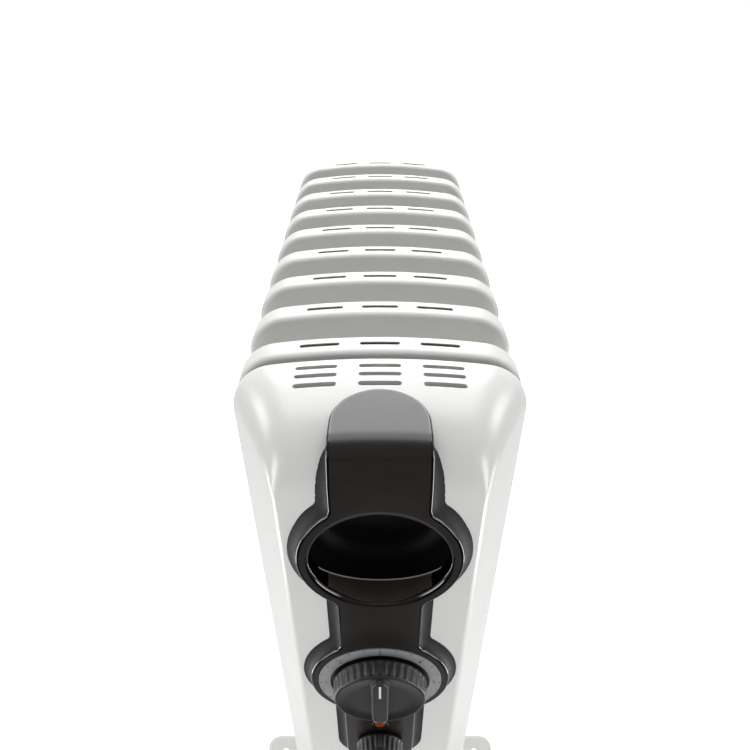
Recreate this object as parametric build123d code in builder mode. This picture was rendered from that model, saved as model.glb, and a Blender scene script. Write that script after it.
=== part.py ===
"""Oil filled radiator heater: nine hollow steel fins on two welded headers, a moulded control end with a
hand grip, a dial and a selector, and two cross feet with swivel castors.

Units are millimetres. X runs across the fins, Y from the control end (-Y) to the rear fin (+Y), Z up.
The origin is on the floor under the middle of the heater.
"""

from build123d import *
from math import atan2, cos, degrees, pi, radians, sin, sqrt
import os

# --- radiator -----------------------------------------------------------------------------------------
TOP = 640.0
HALF_WIDTH = 80.0
CROWN_RADIUS = 430.0
SHOULDER_RADIUS = 25.5

FIN_COUNT = 9
FIN_PITCH = 40.0
FIN_THICKNESS = 16.0
FIN_BOTTOM = 78.0
FIN_CORNER = 18.0
FIN_EDGE = 2.5
FIN_SHEET = 0.7
FIN_FRONT = -127.5
FIN_BACK = FIN_FRONT + (FIN_COUNT - 1) * FIN_PITCH + FIN_THICKNESS
GAP = FIN_PITCH - FIN_THICKNESS

SLOT_LENGTH = 22.0
SLOT_SPACING = 33.0
SLOT_ROWS = (-SLOT_SPACING, 0.0, SLOT_SPACING)
OUTLET_WIDTH = 2.4
INLET_LENGTH = 34.0
INLET_WIDTH = 8.0
INLET_SPACING = 44.0
RIB_WIDTH = 15.0
RIB_HEIGHT = 1.0
RIB_SPACING = 46.0

UPPER_HEADER_Z = TOP - 78
LOWER_HEADER_Z = FIN_BOTTOM + 58
UPPER_HEADER_RADIUS = 20.0
LOWER_HEADER_RADIUS = 24.0
HEADER_WALL = 2.5
WELD = 2.5
PORT_RADIUS = 5.0
PLUG_DEPTH = 215.0 - FIN_BACK

PANEL_HALF_WIDTH = 36.0
PANEL_THICKNESS = 8.0
PANEL_SHEET = 0.8
PANEL_MARGIN = 36.0

# --- control end --------------------------------------------------------------------------------------
CAP_BACK = -134.0
CAP_SKIRT = 6.0
CAP_DEPTH = 59.0
CAP_DROP = 44.0
CAP_POWER = 2.3
CAP_NOSE_HALF = 52.5
CAP_NOSE_SHOULDER = 4.0
CAP_CORNER = 6.0
CAP_BOTTOM = 75.0
CAP_WALL = 2.5
CAP_SECTIONS = 7
CAP_FACE = CAP_BACK - CAP_DEPTH
CAP_INNER_FACE = CAP_FACE + CAP_WALL
GRILLE_WIDTH = 3.0
GRILLE_ROWS = (6.5, 13.4, 20.3)
BOSS_RADIUS = 4.5
BOSS_PLACES = ((42, 486), (-42, 486), (42, 108), (-42, 108))

FASCIA_FACE = -200.0
STRIP_HALF = 24.0
STRIP_TOP = TOP - 1.0
STRIP_WALL = 3.0
BEND_RADIUS = 9.0
APEX_Y = CAP_BACK - 24.6
LOBE_RADIUS = 43.8
LOBE_BACK = CAP_FACE + 6
FLARE = 6.5
FLARE_DEPTH = CAP_FACE + 1 - FASCIA_FACE
FLARE_FROM_Z = TOP - 8
FLARE_FULL_Z = TOP - 24
GRIP_Z = TOP - 84.5
GRIP_RADIUS = 37.3
GRIP_BACK = -160.0
FASCIA_SCREW_PLACES = ((0, 503), (0, 391), (0, 323))
DIAL_Z = TOP - 205
PILOT_Z = TOP - 264
SELECTOR_Z = TOP - 291
FASCIA_END_Z = TOP - 302

WINDOW_HALF = 19.0
WINDOW_TOP = TOP - 24
BOWL_HALF = 42.0
BOWL_HEIGHT = 100.0
BOWL_Z = GRIP_Z + 8
BOWL_EDGE = 10.0
POCKET_WALL = 1.8
FIT = 0.2

# --- controls -----------------------------------------------------------------------------------------
KNOB_FRONT = -215.0
KNOB_BACK = FASCIA_FACE - 1
DIAL_RADIUS = 29.5
SELECTOR_RADIUS = 16.5
SCALE_INNER = 31.5
SCALE_OUTER = 39.0
SCALE_HEIGHT = 0.8
SHAFT_RADIUS = 3.0
BUSH_RADIUS = 5.0
RUNNING = 0.05
THERMOSTAT_SIZE = 40.0
SWITCH_SIZE = 26.0
CONTROL_FRONT = CAP_INNER_FACE + 0.5
CONTROL_BACK = CONTROL_FRONT + 22
SHAFT_BACK = CONTROL_FRONT + 12
LENS_RADIUS = 4.0

WINDER_Z = 170.0
WINDER_WIDTH = 64.0
WINDER_HEIGHT = 112.0
HUB_WIDTH = 34.0
HUB_HEIGHT = 74.0
WINDER_BASE = CAP_FACE - 2
WINDER_GROOVE_FRONT = KNOB_FRONT + 3.5
WINDER_SCREW_OFFSET = 22.0
CORD_Z = 96.0
CORD_BORE = 4.1
GLAND_RADIUS = 6.5

# --- inside the control end ---------------------------------------------------------------------------
PLATE_BACK = CAP_BACK - 0.5
PLATE_THICKNESS = 1.5
PLATE_FRONT = PLATE_BACK - PLATE_THICKNESS
FLANGE_RADIUS = 35.0
FLANGE_BACK = PLATE_FRONT - 0.5
FLANGE_FRONT = FLANGE_BACK - 3
GASKET_FRONT = FLANGE_FRONT - 1.5
ELEMENT_FRONT = GASKET_FRONT - 4
FLANGE_BOLT_CIRCLE = 29.5
ROD_RADIUS = 3.5
ROD_SPREAD = 8.0
ROD_END = 140.0
SHIELD_Y = -147.0
SHIELD_LOW = 220.0
SHIELD_HIGH = 468.0
SHIELD_HALF = 46.0
TERMINAL_Z = 196.0
CUTOUT_X = 48.0
CUTOUT_Z = 522.0

# --- feet and castors ---------------------------------------------------------------------------------
FOOT_TOP = FIN_BOTTOM
FOOT_HEIGHT = 16.0
FOOT_LENGTH = 252.0
FOOT_WIDTH = 36.0
FOOT_SHEET = 2.0
FOOT_BOTTOM = FOOT_TOP - FOOT_HEIGHT
FRONT_FOOT_Y = FIN_FRONT + FIN_THICKNESS + GAP / 2
REAR_FOOT_Y = FRONT_FOOT_Y + (FIN_COUNT - 2) * FIN_PITCH
FEET_Y = (FRONT_FOOT_Y, REAR_FOOT_Y)
U_BOLT_ROD = 3.0
U_BOLT_RADIUS = LOWER_HEADER_RADIUS + U_BOLT_ROD + 0.2
WING_SPAN = 26.0

CASTOR_X = 106.0
WHEEL_RADIUS = 22.0
WHEEL_WIDTH = 16.0
TRAIL = 12.0
CHEEK_GAP = 0.9
CHEEK = 3.0
CROWN_TOP = FOOT_BOTTOM - 3.5
CROWN_HEIGHT = 8.0
CROWN_DISC = 14.0
STEM_RADIUS = 4.0
SOCKET_RADIUS = 8.0
AXLE_RADIUS = 3.0

os.makedirs("parts", exist_ok=True)
UPPER_FRONT = PLATE_FRONT - 3
CASTORS = {
    "front_left": (-CASTOR_X, FRONT_FOOT_Y),
    "front_right": (CASTOR_X, FRONT_FOOT_Y),
    "rear_left": (-CASTOR_X, REAR_FOOT_Y),
    "rear_right": (CASTOR_X, REAR_FOOT_Y),
}


def save(builder, name):
    """Label a finished piece and write it as its own file."""
    builder.part.label = name
    export_step(builder.part, f"parts/{name}.step")


def front_plane(y):
    """A sketch plane at this Y that faces the control end: sketch X is X and sketch Y is Z."""
    return Plane.XZ.offset(-y)


def fin_front(number):
    """The Y of the front face of this fin, counted from 1 at the control end."""
    return FIN_FRONT + (number - 1) * FIN_PITCH


# --- shared outlines ----------------------------------------------------------------------------------
def body_outline(half_width, top, bottom, shoulder, corner):
    """The fin's outline: a crowned top, round shoulders, straight sides and small lower corners."""
    crown_centre = top - CROWN_RADIUS
    shoulder_x = half_width - shoulder
    shoulder_z = crown_centre + sqrt((CROWN_RADIUS - shoulder) ** 2 - shoulder_x**2)
    lean = atan2(shoulder_x, shoulder_z - crown_centre)
    touch_x = CROWN_RADIUS * sin(lean)
    touch_z = crown_centre + CROWN_RADIUS * cos(lean)
    half_way = (pi / 2 - lean) / 2
    bulge_x = shoulder_x + shoulder * cos(half_way)
    bulge_z = shoulder_z + shoulder * sin(half_way)
    cut = corner * (1 - sqrt(0.5))
    low = bottom + corner
    flat = half_width - corner
    with BuildSketch() as outline:
        with BuildLine():
            ThreePointArc((-touch_x, touch_z), (0, top), (touch_x, touch_z))
            ThreePointArc((touch_x, touch_z), (bulge_x, bulge_z), (half_width, shoulder_z))
            Line((half_width, shoulder_z), (half_width, low))
            ThreePointArc((half_width, low), (half_width - cut, bottom + cut), (flat, bottom))
            Line((flat, bottom), (-flat, bottom))
            ThreePointArc((-flat, bottom), (cut - half_width, bottom + cut), (-half_width, low))
            Line((-half_width, low), (-half_width, shoulder_z))
            ThreePointArc((-half_width, shoulder_z), (-bulge_x, bulge_z), (-touch_x, touch_z))
        make_face()
    return outline.sketch


def window_outline(grow):
    """The hand opening through the cap: the round mouth with the finger space above it."""
    with BuildSketch() as outline:
        with Locations((0, GRIP_Z)):
            Circle(GRIP_RADIUS + grow)
        with Locations((0, (GRIP_Z + WINDOW_TOP + grow) / 2)):
            Rectangle(2 * (WINDOW_HALF + grow), WINDOW_TOP + grow - GRIP_Z)
    return outline.sketch


# --- radiator -----------------------------------------------------------------------------------------
def fin(number):
    """One hollow fin: a closed sheet box with outlets on top, inlets below and pressed ribs on its faces."""
    front = fin_front(number)
    back = front + FIN_THICKNESS
    middle_y = (front + back) / 2
    rib_middle = (UPPER_HEADER_Z + LOWER_HEADER_Z) / 2
    rib_length = UPPER_HEADER_Z - LOWER_HEADER_Z - 90
    sheet = FIN_SHEET
    with BuildPart() as hollow:
        with BuildSketch(front_plane(back - sheet)):
            add(
                body_outline(
                    HALF_WIDTH - sheet,
                    TOP - sheet,
                    FIN_BOTTOM + sheet,
                    SHOULDER_RADIUS - sheet,
                    FIN_CORNER - sheet,
                )
            )
        extrude(amount=FIN_THICKNESS - 2 * sheet)
        rims = hollow.edges().group_by(Axis.Y)
        fillet(rims[0] + rims[-1], FIN_EDGE - sheet)
    with BuildPart() as box:
        with BuildSketch(front_plane(back)):
            add(body_outline(HALF_WIDTH, TOP, FIN_BOTTOM, SHOULDER_RADIUS, FIN_CORNER))
        extrude(amount=FIN_THICKNESS)
        rims = box.edges().group_by(Axis.Y)
        fillet(rims[0] + rims[-1], FIN_EDGE)
        for y, outward in ((front, RIB_HEIGHT), (back, -RIB_HEIGHT)):
            with BuildSketch(front_plane(y)):
                with Locations((-RIB_SPACING, rib_middle), (0, rib_middle), (RIB_SPACING, rib_middle)):
                    SlotOverall(rib_length, RIB_WIDTH, rotation=90)
            extrude(amount=outward, taper=40)
        add(hollow.part, mode=Mode.SUBTRACT)
        with BuildSketch(Plane.XY.offset(TOP - 10)):
            with Locations(*[(x, middle_y) for x in SLOT_ROWS]):
                SlotOverall(SLOT_LENGTH, OUTLET_WIDTH)
        extrude(amount=12, mode=Mode.SUBTRACT)
        with BuildSketch(Plane.XY.offset(FIN_BOTTOM - 1)):
            with Locations((-INLET_SPACING, middle_y), (0, middle_y), (INLET_SPACING, middle_y)):
                SlotOverall(INLET_LENGTH, INLET_WIDTH)
        extrude(amount=3, mode=Mode.SUBTRACT)
        with BuildSketch(front_plane(back + RIB_HEIGHT)):
            with Locations((0, UPPER_HEADER_Z)):
                Circle(UPPER_HEADER_RADIUS)
            with Locations((0, LOWER_HEADER_Z)):
                Circle(LOWER_HEADER_RADIUS)
        extrude(amount=FIN_THICKNESS + 2 * RIB_HEIGHT, mode=Mode.SUBTRACT)
    return box


def header(z, radius, front, flange):
    """A header tube through every fin, with a weld bead against each fin and an oil port inside each."""
    with BuildPart() as tube:
        with BuildSketch(front_plane(FIN_BACK)):
            with Locations((0, z)):
                Circle(radius)
        extrude(amount=FIN_BACK - front)
        for number in range(1, FIN_COUNT + 1):
            fin_face = fin_front(number)
            beads = [(fin_face, WELD)]
            if number < FIN_COUNT:
                beads.append((fin_face + FIN_THICKNESS, -WELD))
            for y, outward in beads:
                with BuildSketch(front_plane(y)):
                    with Locations((0, z)):
                        Circle(radius + WELD)
                extrude(amount=outward, taper=35)
        if flange:
            with BuildSketch(front_plane(FLANGE_BACK)):
                with Locations((0, z)):
                    Circle(FLANGE_RADIUS)
            extrude(amount=FLANGE_BACK - FLANGE_FRONT)
            with BuildSketch(front_plane(FLANGE_BACK)):
                with Locations((0, z)):
                    with PolarLocations(FLANGE_BOLT_CIRCLE, 4, start_angle=45):
                        Circle(2.6)
            extrude(amount=FLANGE_BACK - FLANGE_FRONT, mode=Mode.SUBTRACT)
        with BuildSketch(front_plane(FIN_BACK)):
            with Locations((0, z)):
                Circle(radius - HEADER_WALL)
        extrude(amount=FIN_BACK - front, mode=Mode.SUBTRACT)
        with BuildSketch(Plane.XY.offset(z - radius - 1)):
            with Locations(*[(0, fin_front(n) + FIN_THICKNESS / 2) for n in range(1, FIN_COUNT + 1)]):
                Circle(PORT_RADIUS / 2)
        extrude(amount=2 * radius + 2, mode=Mode.SUBTRACT)
    return tube


def oil_core():
    """The flat oil panel inside each fin, open to both headers."""
    low = LOWER_HEADER_Z - PANEL_MARGIN
    high = UPPER_HEADER_Z + PANEL_MARGIN
    length = high - low
    middle = (low + high) / 2
    margin = (FIN_THICKNESS - PANEL_THICKNESS) / 2
    with BuildPart() as core:
        for number in range(1, FIN_COUNT + 1):
            back = fin_front(number) + FIN_THICKNESS - margin
            with BuildSketch(front_plane(back)):
                with Locations((0, middle)):
                    SlotOverall(length, 2 * PANEL_HALF_WIDTH, rotation=90)
            extrude(amount=PANEL_THICKNESS)
            with BuildSketch(front_plane(back - PANEL_SHEET)):
                with Locations((0, middle)):
                    SlotOverall(
                        length - 2 * PANEL_SHEET, 2 * (PANEL_HALF_WIDTH - PANEL_SHEET), rotation=90
                    )
            extrude(amount=PANEL_THICKNESS - 2 * PANEL_SHEET, mode=Mode.SUBTRACT)
            with BuildSketch(front_plane(back)):
                with Locations((0, UPPER_HEADER_Z)):
                    Circle(UPPER_HEADER_RADIUS)
                with Locations((0, LOWER_HEADER_Z)):
                    Circle(LOWER_HEADER_RADIUS)
            extrude(amount=PANEL_THICKNESS, mode=Mode.SUBTRACT)
    return core


def header_plugs(upper_front):
    """The welded end plugs: both headers at the rear, and the upper one at the control end."""
    with BuildPart() as plugs:
        with BuildSketch(front_plane(FIN_BACK)):
            with Locations((0, UPPER_HEADER_Z)):
                Circle(UPPER_HEADER_RADIUS + 3)
            with Locations((0, LOWER_HEADER_Z)):
                Circle(LOWER_HEADER_RADIUS + 3)
        extrude(amount=-PLUG_DEPTH, taper=12)
        with BuildSketch(front_plane(upper_front)):
            with Locations((0, UPPER_HEADER_Z)):
                Circle(UPPER_HEADER_RADIUS)
        extrude(amount=4)
        with BuildSketch(front_plane(upper_front - 4)):
            with Locations((0, UPPER_HEADER_Z)):
                RegularPolygon(11, 6)
        extrude(amount=6)
    return plugs


def heating_element():
    """The element: a flange with two hairpin rods that reach along the lower header, and its terminals."""
    with BuildPart() as element:
        with BuildSketch(front_plane(GASKET_FRONT)):
            with Locations((0, LOWER_HEADER_Z)):
                Circle(FLANGE_RADIUS)
                with PolarLocations(FLANGE_BOLT_CIRCLE, 4, start_angle=45):
                    Circle(2.6, mode=Mode.SUBTRACT)
        extrude(amount=GASKET_FRONT - ELEMENT_FRONT)
        for x in (-ROD_SPREAD, ROD_SPREAD):
            high = LOWER_HEADER_Z + ROD_SPREAD
            low = LOWER_HEADER_Z - ROD_SPREAD
            with BuildLine() as hairpin:
                Line((x, GASKET_FRONT, high), (x, ROD_END, high))
                ThreePointArc(
                    (x, ROD_END, high), (x, ROD_END + ROD_SPREAD, LOWER_HEADER_Z), (x, ROD_END, low)
                )
                Line((x, ROD_END, low), (x, GASKET_FRONT, low))
            with BuildSketch(Plane(origin=(x, GASKET_FRONT, high), z_dir=(0, 1, 0))):
                Circle(ROD_RADIUS)
            sweep(path=hairpin.line)
        with BuildSketch(front_plane(ELEMENT_FRONT)):
            with Locations((0, LOWER_HEADER_Z)):
                with GridLocations(2 * ROD_SPREAD, 2 * ROD_SPREAD, 2, 2):
                    Circle(ROD_RADIUS - 0.5)
        extrude(amount=14)
    return element


def element_gasket():
    """The flat fibre ring between the element's flange and the header's flange."""
    with BuildPart() as gasket:
        with BuildSketch(front_plane(FLANGE_FRONT)):
            with Locations((0, LOWER_HEADER_Z)):
                Circle(FLANGE_RADIUS - 0.5)
                Circle(LOWER_HEADER_RADIUS - 1, mode=Mode.SUBTRACT)
                with PolarLocations(FLANGE_BOLT_CIRCLE, 4, start_angle=45):
                    Circle(2.6, mode=Mode.SUBTRACT)
        extrude(amount=FLANGE_FRONT - GASKET_FRONT)
    return gasket


def element_bolts():
    """Four hexagon bolts that clamp the element to the lower header."""
    with BuildPart() as bolts:
        with BuildSketch(front_plane(FLANGE_BACK)):
            with Locations((0, LOWER_HEADER_Z)):
                with PolarLocations(FLANGE_BOLT_CIRCLE, 4, start_angle=45):
                    Circle(2.5)
        extrude(amount=FLANGE_BACK - ELEMENT_FRONT)
        with BuildSketch(front_plane(ELEMENT_FRONT)):
            with Locations((0, LOWER_HEADER_Z)):
                with PolarLocations(FLANGE_BOLT_CIRCLE, 4, start_angle=45):
                    RegularPolygon(4.6, 6)
        extrude(amount=3.5)
    return bolts


# --- control end --------------------------------------------------------------------------------------
def cap_solid(inset):
    """The moulded nose as a solid, every surface moved in by inset: a straight skirt and a curved nose."""
    depth = CAP_DEPTH - CAP_SKIRT - inset
    with BuildPart() as nose:
        for step in range(CAP_SECTIONS + 1):
            turn = radians(90 * step / CAP_SECTIONS)
            forward = depth * sin(turn) ** (2 / CAP_POWER)
            fall = 1 - cos(turn) ** (2 / CAP_POWER) if step < CAP_SECTIONS else 1.0
            taper = (HALF_WIDTH - CAP_NOSE_HALF) * forward / (CAP_DEPTH - CAP_SKIRT)
            shoulder = SHOULDER_RADIUS + (CAP_NOSE_SHOULDER - SHOULDER_RADIUS) * fall**0.8
            section = body_outline(
                HALF_WIDTH - inset - taper,
                TOP - inset - CAP_DROP * fall,
                CAP_BOTTOM + inset,
                max(shoulder, 2.0),
                CAP_CORNER,
            )
            with BuildSketch(front_plane(CAP_BACK - CAP_SKIRT - forward)):
                add(section)
        loft()
        with BuildSketch(front_plane(CAP_BACK)):
            add(
                body_outline(
                    HALF_WIDTH - inset, TOP - inset, CAP_BOTTOM + inset, SHOULDER_RADIUS, CAP_CORNER
                )
            )
        extrude(amount=CAP_SKIRT)
    return nose.part


def front_cap(outer, inner):
    """The white moulded cover with its outlet grille, bosses and openings for the grip and controls."""
    with BuildPart() as cap:
        add(outer)
        add(inner, mode=Mode.SUBTRACT)
        with BuildSketch(front_plane(PLATE_FRONT)):
            with Locations(*BOSS_PLACES):
                Circle(BOSS_RADIUS)
        extrude(amount=PLATE_FRONT - CAP_INNER_FACE + 1)
        with BuildSketch(front_plane(PLATE_FRONT)):
            with Locations(*BOSS_PLACES):
                Circle(1.6)
        extrude(amount=12, mode=Mode.SUBTRACT)
        with BuildSketch(Plane.XY.offset(TOP + 1)):
            with Locations(*[(x, CAP_BACK - row) for x in SLOT_ROWS for row in GRILLE_ROWS]):
                SlotOverall(SLOT_LENGTH, GRILLE_WIDTH)
        extrude(amount=-12, mode=Mode.SUBTRACT)
        with BuildSketch(Plane.XY.offset(CAP_BOTTOM - 1)):
            with Locations((0, CAP_BACK - 26)):
                with GridLocations(INLET_SPACING / 1.3, 12, 3, 3):
                    SlotOverall(28, 5)
        extrude(amount=6, mode=Mode.SUBTRACT)
        with BuildSketch(front_plane(CAP_FACE + 20)):
            add(window_outline(POCKET_WALL + FIT))
        extrude(amount=40, mode=Mode.SUBTRACT)
        with BuildSketch(front_plane(CAP_INNER_FACE)):
            with Locations((0, DIAL_Z), (0, SELECTOR_Z)):
                Circle(BUSH_RADIUS + FIT)
            with Locations((0, PILOT_Z)):
                Circle(LENS_RADIUS + FIT)
            with Locations(*FASCIA_SCREW_PLACES):
                Circle(1.8)
            with Locations((0, WINDER_Z + WINDER_SCREW_OFFSET), (0, WINDER_Z - WINDER_SCREW_OFFSET)):
                Circle(1.6)
            with Locations((0, CORD_Z)):
                Circle(GLAND_RADIUS + FIT)
        extrude(amount=CAP_WALL + 1, mode=Mode.SUBTRACT)
    return cap


def strip_solid(inset):
    """The fascia's tall strip, from the flat front over the bend and back to the round end on the crown."""
    face = FASCIA_FACE + inset
    top = STRIP_TOP - inset
    half = STRIP_HALF - inset
    apex = APEX_Y - inset
    with BuildPart() as strip:
        with BuildSketch(Plane.YZ) as profile:
            with Locations(((face + apex) / 2, (top + FASCIA_END_Z) / 2)):
                Rectangle(apex - face, top - FASCIA_END_Z)
            corner = profile.vertices().sort_by(lambda point: point.Y - point.X)[-1]
            fillet(corner, BEND_RADIUS - inset)
        extrude(amount=half, both=True)
        with BuildSketch(Plane.XY.offset(FASCIA_END_Z)):
            with Locations((0, (face + apex - half) / 2)):
                Rectangle(2 * half, apex - half - face)
            with Locations((0, apex - half)):
                Circle(half)
        extrude(amount=top - FASCIA_END_Z, mode=Mode.INTERSECT)
    return strip.part


def flare_outline():
    """The foot of the fascia where it meets the cap: wider than the face, and closing in towards the bend."""
    wide = STRIP_HALF + FLARE
    with BuildSketch() as outline:
        with BuildLine():
            Polyline(
                (-wide, FASCIA_END_Z),
                (-wide, FLARE_FULL_Z),
                (-STRIP_HALF + 1, FLARE_FROM_Z),
                (STRIP_HALF - 1, FLARE_FROM_Z),
                (wide, FLARE_FULL_Z),
                (wide, FASCIA_END_Z),
                close=True,
            )
        make_face()
        with Locations((0, FASCIA_END_Z)):
            Circle(wide)
        with Locations((0, GRIP_Z), (0, DIAL_Z)):
            Circle(LOBE_RADIUS + FLARE - 1)
    return outline.sketch


def fascia(outer):
    """The dark strip over the crown and down the front, round the grip and the dial, hollow behind the grip."""
    strip = strip_solid(0)
    behind_grip = split(strip_solid(STRIP_WALL), bisect_by=Plane.XY.offset(GRIP_Z), mode=Mode.PRIVATE)
    flare_angle = degrees(atan2(FLARE, FLARE_DEPTH))
    with BuildPart() as dark:
        add(strip)
        with BuildSketch(front_plane(LOBE_BACK)):
            with Locations((0, GRIP_Z), (0, DIAL_Z)):
                Circle(LOBE_RADIUS)
            with Locations((0, FASCIA_END_Z)):
                Circle(STRIP_HALF)
        extrude(amount=LOBE_BACK - FASCIA_FACE)
        with BuildSketch(front_plane(FASCIA_FACE + FLARE_DEPTH)):
            add(flare_outline())
        extrude(amount=FLARE_DEPTH, taper=flare_angle)
        add(outer, mode=Mode.SUBTRACT)
        with BuildSketch(front_plane(CAP_FACE + 30)):
            with Locations((0, GRIP_Z)):
                Circle(GRIP_RADIUS)
        extrude(amount=60, mode=Mode.SUBTRACT)
        add(behind_grip, mode=Mode.SUBTRACT)
        with BuildSketch(front_plane(CAP_FACE + 1)):
            with Locations((0, DIAL_Z), (0, SELECTOR_Z)):
                Circle(BUSH_RADIUS + FIT)
            with Locations((0, PILOT_Z)):
                Circle(LENS_RADIUS)
        extrude(amount=20, mode=Mode.SUBTRACT)
        with BuildSketch(front_plane(CAP_FACE)):
            with Locations(*FASCIA_SCREW_PLACES):
                Circle(1.5)
        extrude(amount=4, mode=Mode.SUBTRACT)
    return dark


def fascia_screws():
    """Three screws that pull the fascia against the cap from inside."""
    with BuildPart() as screws:
        with BuildSketch(front_plane(CAP_INNER_FACE)):
            with Locations(*FASCIA_SCREW_PLACES):
                Circle(1.5)
        extrude(amount=CAP_WALL + 4)
        with BuildSketch(front_plane(CAP_INNER_FACE)):
            with Locations(*FASCIA_SCREW_PLACES):
                Circle(3.5)
        extrude(amount=-2.2, taper=20)
    return screws


def cap_screws():
    """Four screws through the mounting plate into the cap's bosses."""
    with BuildPart() as screws:
        with BuildSketch(front_plane(PLATE_BACK)):
            with Locations(*BOSS_PLACES):
                Circle(1.6)
        extrude(amount=PLATE_THICKNESS + 10)
        with BuildSketch(front_plane(PLATE_BACK)):
            with Locations(*BOSS_PLACES):
                Circle(3.6)
        extrude(amount=-2.4, taper=20)
    return screws


def hand_pocket():
    """The glossy bowl behind the grip: a wide rounded cavity whose mouth fills the opening in the cap."""
    clear = POCKET_WALL
    with BuildPart() as room:
        with BuildSketch(front_plane(GRIP_BACK)):
            with Locations((0, BOWL_Z)):
                SlotOverall(BOWL_HEIGHT, 2 * BOWL_HALF, rotation=90)
        extrude(amount=GRIP_BACK - CAP_INNER_FACE)
        fillet(room.edges().group_by(Axis.Y)[-1], BOWL_EDGE)
        add(cap_solid(CAP_WALL + FIT + clear), mode=Mode.INTERSECT)
    with BuildPart() as pocket:
        with BuildSketch(front_plane(GRIP_BACK + clear)):
            with Locations((0, BOWL_Z)):
                SlotOverall(BOWL_HEIGHT + 2 * clear, 2 * (BOWL_HALF + clear), rotation=90)
        extrude(amount=GRIP_BACK + clear - CAP_INNER_FACE)
        fillet(pocket.edges().group_by(Axis.Y)[-1], BOWL_EDGE + clear)
        add(cap_solid(CAP_WALL + FIT), mode=Mode.INTERSECT)
        with BuildSketch(front_plane(CAP_INNER_FACE + 16)):
            add(window_outline(clear))
        extrude(amount=CAP_INNER_FACE + 16 - CAP_FACE)
        add(room.part, mode=Mode.SUBTRACT)
        with BuildSketch(front_plane(CAP_INNER_FACE + 17)):
            add(window_outline(0))
        extrude(amount=40, mode=Mode.SUBTRACT)
    return pocket


def mounting_plate():
    """The steel plate that carries the control end on the two headers."""
    with BuildPart() as plate:
        with BuildSketch(front_plane(PLATE_BACK)):
            add(body_outline(HALF_WIDTH - 3.2, TOP - 3.5, CAP_BOTTOM + 3.2, SHOULDER_RADIUS - 2, 6))
            with Locations((0, UPPER_HEADER_Z)):
                Circle(UPPER_HEADER_RADIUS + FIT, mode=Mode.SUBTRACT)
            with Locations((0, LOWER_HEADER_Z)):
                Circle(LOWER_HEADER_RADIUS + FIT, mode=Mode.SUBTRACT)
            with Locations(*BOSS_PLACES):
                Circle(1.6, mode=Mode.SUBTRACT)
            with Locations((0, 350)):
                with GridLocations(30, 60, 4, 4):
                    SlotOverall(36, 5, rotation=90, mode=Mode.SUBTRACT)
        extrude(amount=PLATE_THICKNESS)
    return plate


def heat_shield():
    """A thin folded sheet that keeps the headers' heat off the controls."""
    with BuildPart() as shield:
        with BuildSketch(Plane.YZ):
            with BuildLine():
                Polyline(
                    (PLATE_FRONT, SHIELD_HIGH),
                    (SHIELD_Y, SHIELD_HIGH),
                    (SHIELD_Y, SHIELD_LOW),
                    (PLATE_FRONT, SHIELD_LOW),
                    (PLATE_FRONT, SHIELD_LOW + 0.8),
                    (SHIELD_Y + 0.8, SHIELD_LOW + 0.8),
                    (SHIELD_Y + 0.8, SHIELD_HIGH - 0.8),
                    (PLATE_FRONT, SHIELD_HIGH - 0.8),
                    close=True,
                )
            make_face()
        extrude(amount=SHIELD_HALF, both=True)
    return shield


# --- controls -----------------------------------------------------------------------------------------
def control_body(z, size):
    """A thermostat or switch body behind the cap, with a bush that guides its shaft through the fascia."""
    with BuildPart() as body:
        with BuildSketch(front_plane(CONTROL_BACK)):
            with Locations((0, z)):
                RectangleRounded(size, size, 3)
        extrude(amount=CONTROL_BACK - CAP_INNER_FACE)
        with BuildSketch(front_plane(CAP_INNER_FACE)):
            with Locations((0, z)):
                Circle(BUSH_RADIUS)
        extrude(amount=CAP_INNER_FACE - FASCIA_FACE)
        with BuildSketch(front_plane(SHAFT_BACK + RUNNING)):
            with Locations((0, z)):
                Circle(SHAFT_RADIUS + RUNNING)
        extrude(amount=SHAFT_BACK + RUNNING - FASCIA_FACE, mode=Mode.SUBTRACT)
    return body


def control_shaft(z):
    """The round shaft of a control, fixed in its knob."""
    with BuildPart() as shaft:
        with BuildSketch(front_plane(SHAFT_BACK)):
            with Locations((0, z)):
                Circle(SHAFT_RADIUS)
        extrude(amount=SHAFT_BACK - KNOB_FRONT - 5)
    return shaft


def knob(z, radius, flutes):
    """A moulded knob with a rounded front edge, grip flutes round its side and a raised pointer bar."""
    with BuildPart() as turn:
        with BuildSketch(front_plane(KNOB_BACK)):
            with Locations((0, z)):
                Circle(radius)
        extrude(amount=KNOB_BACK - KNOB_FRONT - 3)
        fillet(turn.edges().group_by(Axis.Y)[0], 2)
        with BuildSketch(front_plane(KNOB_BACK)):
            with Locations((0, z)):
                with PolarLocations(radius + 1.2, flutes):
                    Circle(2)
        extrude(amount=KNOB_BACK - KNOB_FRONT, mode=Mode.SUBTRACT)
        with BuildSketch(front_plane(KNOB_FRONT + 3)):
            with Locations((0, z)):
                SlotOverall(1.7 * radius, 0.36 * radius, rotation=90)
        extrude(amount=3, taper=12)
        with BuildSketch(front_plane(KNOB_BACK)):
            with Locations((0, z)):
                Circle(SHAFT_RADIUS)
        extrude(amount=KNOB_BACK - KNOB_FRONT - 5, mode=Mode.SUBTRACT)
    return turn


def thermostat_ring():
    """The thin trim ring round the dial that carries the scale."""
    with BuildPart() as ring:
        with BuildSketch(front_plane(FASCIA_FACE)):
            with Locations((0, DIAL_Z)):
                Circle(SCALE_OUTER)
                Circle(SCALE_INNER, mode=Mode.SUBTRACT)
        extrude(amount=SCALE_HEIGHT)
        fillet(ring.edges().group_by(Axis.Y)[0], 0.3)
    return ring


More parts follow.
